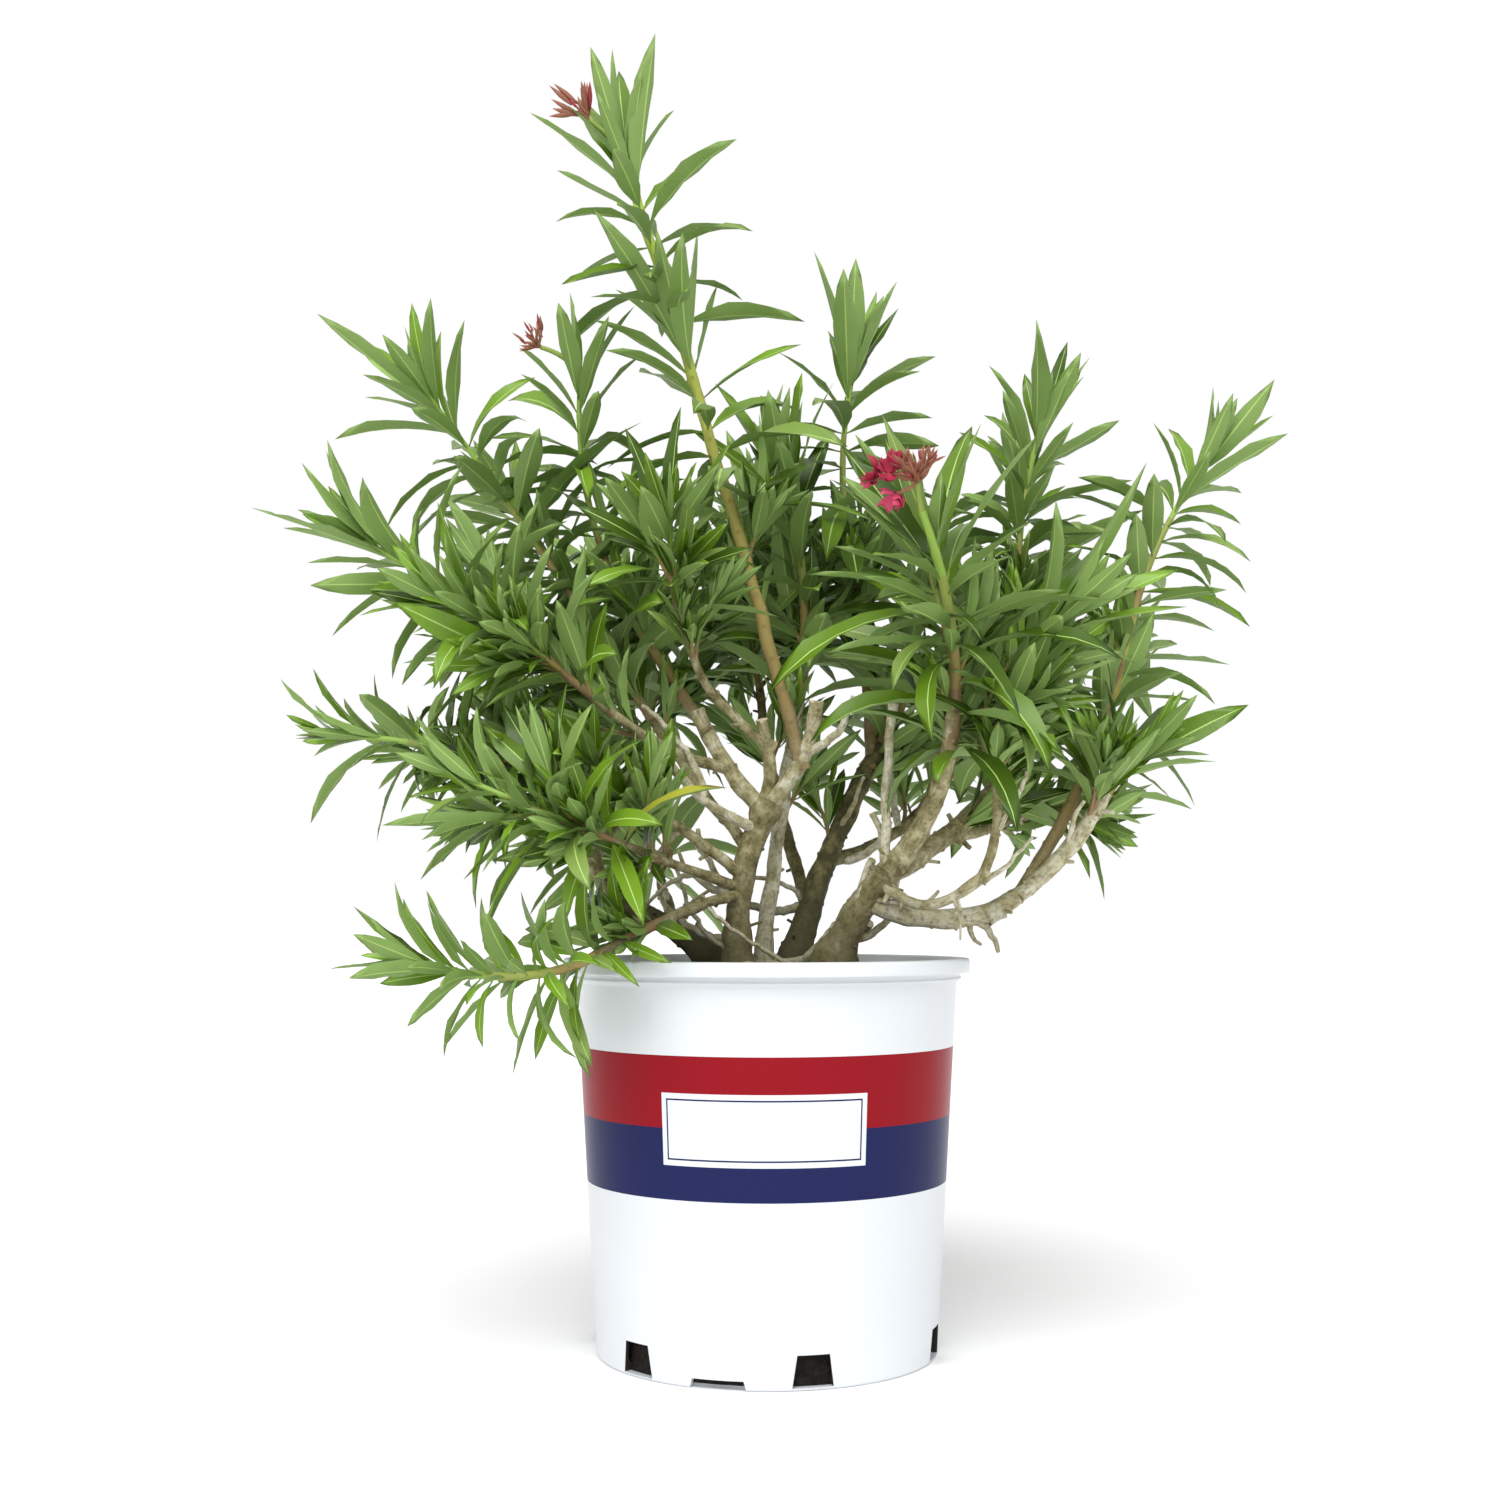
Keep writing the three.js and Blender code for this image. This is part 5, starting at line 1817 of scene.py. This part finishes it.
def turned_to(direction, roll=0.0):
    """The rotation that stands a shape's Z axis along a direction."""
    stand = Vector((0, 0, 1)).rotation_difference(Vector(direction))
    return stand @ Quaternion((0, 0, 1), roll)


# Flower heads: the mass whose leading shoot bears one, the way the stalk leans, its length in
# millimetres, how many branches it has, the buds on each, a bud's length in millimetres, and how
# widely the branches spread. The last head is the one with open flowers.
FLOWER_HEADS = (
    ("leader_leaves", (-0.66, -0.25, 0.66), 38, 6, 3, 20, 0.6),
    ("bud_bough_leaves", (-0.78, -0.3, 0.55), 36, 9, 3, 12, 1.0),
    ("flower_bough_leaves", (-0.2, -0.6, 0.78), 20, 15, 4, 13, 1.0),
)
# Open and faded flowers: where each sits from the head, which way it faces, and its petals' length.
OPEN_FLOWERS = (((-25, 2, 5), (-0.8, -0.2, 0.45), 10), ((-17, -2, 6), (-0.3, -0.7, 0.5), 8),
                ((-13, 5, 13), (-0.3, 0.1, 0.8), 9))
FADED_FLOWERS = (((-14, 5, -6), (-0.6, -0.1, -0.5), 9), ((-29, 3, 2), (-0.8, -0.2, 0.5), 6))
PETALS = 8
BLOSSOM_SEED = 5
# One bud in this many is crimson.
CRIMSON_EVERY = 7
STALK_RADII, BRANCH_RADII, FLOWER_STALK_RADIUS = (2.6, 1.7), (1.2, 0.9), 1.1
GREEN_AGE, DUSKY_AGE = 0.9, 0.3
BUD_GIRTH = 0.18


class OLEANDER_OT_blossom(bpy.types.Operator):
    """Sets bud clusters on three shoots, one of them with its first crimson flowers"""
    bl_idname = "oleander.blossom"
    bl_label = "Blossom"

    def execute(self, context):
        settings = context.scene.oleander
        rng = np.random.default_rng(settings.growth.seed + BLOSSOM_SEED)
        leads = {spray.mass: spray for spray in reversed(all_sprays(settings)) if spray.leading}
        stalks, buds = [], []
        for mass, lean, stalk, branches, per_branch, bud, spread in FLOWER_HEADS:
            apex = leads[mass].strand.line[-1]
            lean = unit(np.array(lean))
            head = apex + lean * stalk * MM
            line = bent_line(apex - lean * 3 * MM, leads[mass].strand.at(1.0)[1] + lean, head)
            stalks.append(Strand(mass, line, np.linspace(*STALK_RADII, len(line)) * MM,
                                 np.full(len(line), GREEN_AGE)))
            side, other = across(lean)
            for branch in range(branches):
                turn = branch * FULL_TURN / branches + rng.uniform(-0.3, 0.3)
                outward = side * math.cos(turn) + other * math.sin(turn)
                way = unit(lean + UP * 0.4 + outward * spread * rng.uniform(0.5, 1.3))
                fork = head + way * rng.uniform(3, 17) * MM
                line = bent_line(head - lean * MM, lean, fork, spacing=2 * MM)
                stalks.append(Strand(mass, line, np.linspace(*BRANCH_RADII, len(line)) * MM,
                                     np.full(len(line), DUSKY_AGE)))
                for _ in range(per_branch):
                    point = unit(way + rng.normal(0, 0.28, 3))
                    length = bud * rng.uniform(0.7, 1.15) * MM
                    buds.append((fork - point * MM + rng.normal(0, 1.2, 3) * MM, turned_to(point),
                                 (length * BUD_GIRTH, length * BUD_GIRTH, length)))
        fresh, faded = [], []
        for petals, flowers in ((fresh, OPEN_FLOWERS), (faded, FADED_FLOWERS)):
            for gap, facing, size in flowers:
                centre = head + np.array(gap) * MM
                facing = unit(np.array(facing, float))
                line = bent_line(head, facing, centre)
                stalks.append(Strand("flower", line, np.full(len(line), FLOWER_STALK_RADIUS * MM),
                                     np.full(len(line), DUSKY_AGE)))
                for petal in range(PETALS):
                    roll = petal * GOLDEN_ANGLE + rng.uniform(-0.2, 0.2)
                    grown = size * rng.uniform(0.75, 1.15) * MM
                    loose = unit(facing + rng.normal(0, 0.3, 3))
                    petals.append((centre + rng.normal(0, 1.0, 3) * MM, turned_to(loose, roll),
                                   (grown, grown, grown * rng.uniform(0.5, 2.2))))
        mesh = strand_mesh("flower_stalks", stalks)
        tree = bark_tree([(twig_paint("flower_stalk_dusky", "#94664a"), ANY_AGE),
                          (twig_paint("flower_stalk_green", "#8fa34c"), 0.6)])
        attach(shaped("flower_stalks", mesh, tree, {
            "Sides": TWIG_SIDES, "Lumps": 0.0, "Ridges": 0.0, "Scars": 0.0}), "green_bark")
        # Buds have a waxy bloom, dusky red, or crimson when about to open. Petals are velvety, deep
        # crimson when fresh and pink as they fade.
        for name, template, places, material in (
                ("dusky_buds", bud_shape, [bud for n, bud in enumerate(buds) if n % CRIMSON_EVERY],
                 even_material("bud_dusky_red", "#935e49", 0.55, 1.42)),
                ("crimson_buds", bud_shape, buds[::CRIMSON_EVERY],
                 even_material("bud_crimson", "#94303a", 0.55, 1.42)),
                ("petals", petal_shape, fresh, even_material("petal_crimson", "#9a1c3a", 0.6, 1.4)),
                ("pink_petals", petal_shape, faded, even_material("petal_pink", "#cf4a6c", 0.6, 1.4))):
            spots, turns, sizes = zip(*places)
            piece = scattered(name, template(), np.array(spots), [tuple(t) for t in turns],
                              np.array(sizes), material)
            attach(piece, "leaves")
        return {"FINISHED"}


# ---------------------------------------------------------------- stage

FLOOR_REACH = 60.0
# The one lamp is a wide soft sun from the front and above.
KEY_POWER, KEY_WIDTH, KEY_TILT, KEY_TURN = 2.5, math.radians(50), math.radians(38), math.radians(-12)
# The sky's strength at the front and behind, and what the camera itself sees of it.
SKY_FRONT, SKY_BACK, SKY_SEEN = 1.1, 0.6, 1.0


class OLEANDER_OT_stage(bpy.types.Operator):
    """Sets up the pale floor, the soft studio light and the camera"""
    bl_idname = "oleander.stage"
    bl_label = "Stage"

    def execute(self, context):
        stage = context.scene.oleander.stage
        scene = context.scene
        # Matt paper catches a soft shadow and no reflection of the pot.
        material, tree = material_tree("matt_white_paper")
        finish_material(tree, {
            "Base Color": linear("#efefef"), "Roughness": 0.9, "Specular IOR Level": 0.1})
        reach = FLOOR_REACH
        floor = placed("floor", mesh_of("floor", [
            (-reach, -reach, 0), (reach, -reach, 0), (reach, reach, 0), (-reach, reach, 0)],
            faces=[(0, 1, 2, 3)]))
        floor.data.materials.append(material)

        world = bpy.data.worlds.new("studio")
        world.use_nodes = True
        scene.world = world
        tree = world.node_tree
        tree.nodes.clear()
        sight = add(tree, "ShaderNodeLightPath").outputs["Is Camera Ray"]
        way = add(tree, "ShaderNodeTexCoord").outputs["Generated"]
        depth = add(tree, "ShaderNodeSeparateXYZ", {"Vector": way}).outputs["Y"]
        wash = add(tree, "ShaderNodeMapRange", {
            "Value": depth, "From Min": -1.0, "From Max": 1.0, "To Min": SKY_FRONT,
            "To Max": SKY_BACK})
        power = add(tree, "ShaderNodeMix", {0: sight, 2: wash, 3: SKY_SEEN}, data_type="FLOAT")
        sky = add(tree, "ShaderNodeBackground", {"Color": linear("#ffffff"), "Strength": power})
        add(tree, "ShaderNodeOutputWorld", {"Surface": sky})

        key = bpy.data.objects.new("key_light", bpy.data.lights.new("key_light", "SUN"))
        key.data.energy = KEY_POWER
        key.data.angle = KEY_WIDTH
        key.rotation_euler = (KEY_TILT, 0, KEY_TURN)
        scene.collection.objects.link(key)

        camera = bpy.data.objects.new("camera", bpy.data.cameras.new("camera"))
        camera.data.lens = stage.lens
        camera.location = (-stage.shift_left, -stage.distance, stage.height)
        camera.rotation_euler = (math.pi / 2 + stage.pitch, 0, 0)
        scene.collection.objects.link(camera)
        scene.camera = camera
        scene.view_settings.view_transform = "Standard"
        return {"FINISHED"}


# ---------------------------------------------------------------- panel and registration

OPERATORS = (OLEANDER_OT_stage, OLEANDER_OT_pot, OLEANDER_OT_soil, OLEANDER_OT_wood,
             OLEANDER_OT_twigs, OLEANDER_OT_leaves, OLEANDER_OT_blossom)


class OLEANDER_PT_panel(bpy.types.Panel):
    """Lists the pieces in the order they are made"""
    bl_idname = "OLEANDER_PT_panel"
    bl_label = "Potted oleander"
    bl_space_type = "VIEW_3D"
    bl_region_type = "UI"
    bl_category = "Oleander"

    def draw(self, context):
        for operator in OPERATORS:
            self.layout.operator(operator.bl_idname)


CLASSES = (PotSettings, GrowthSettings, LeafSettings, StageSettings, OleanderSettings,
           *OPERATORS, OLEANDER_PT_panel)


def register():
    """Registers the classes and gives every scene its settings."""
    for item in CLASSES:
        bpy.utils.register_class(item)
    bpy.types.Scene.oleander = PointerProperty(type=OleanderSettings)


def unregister():
    """Takes the settings and the classes away again."""
    del bpy.types.Scene.oleander
    for item in reversed(CLASSES):
        bpy.utils.unregister_class(item)


def main():
    """Registers the add-on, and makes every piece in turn."""
    register()
    for operator in OPERATORS:
        group, name = operator.bl_idname.split(".")
        getattr(getattr(bpy.ops, group), name)()


if __name__ == "__main__":
    main()
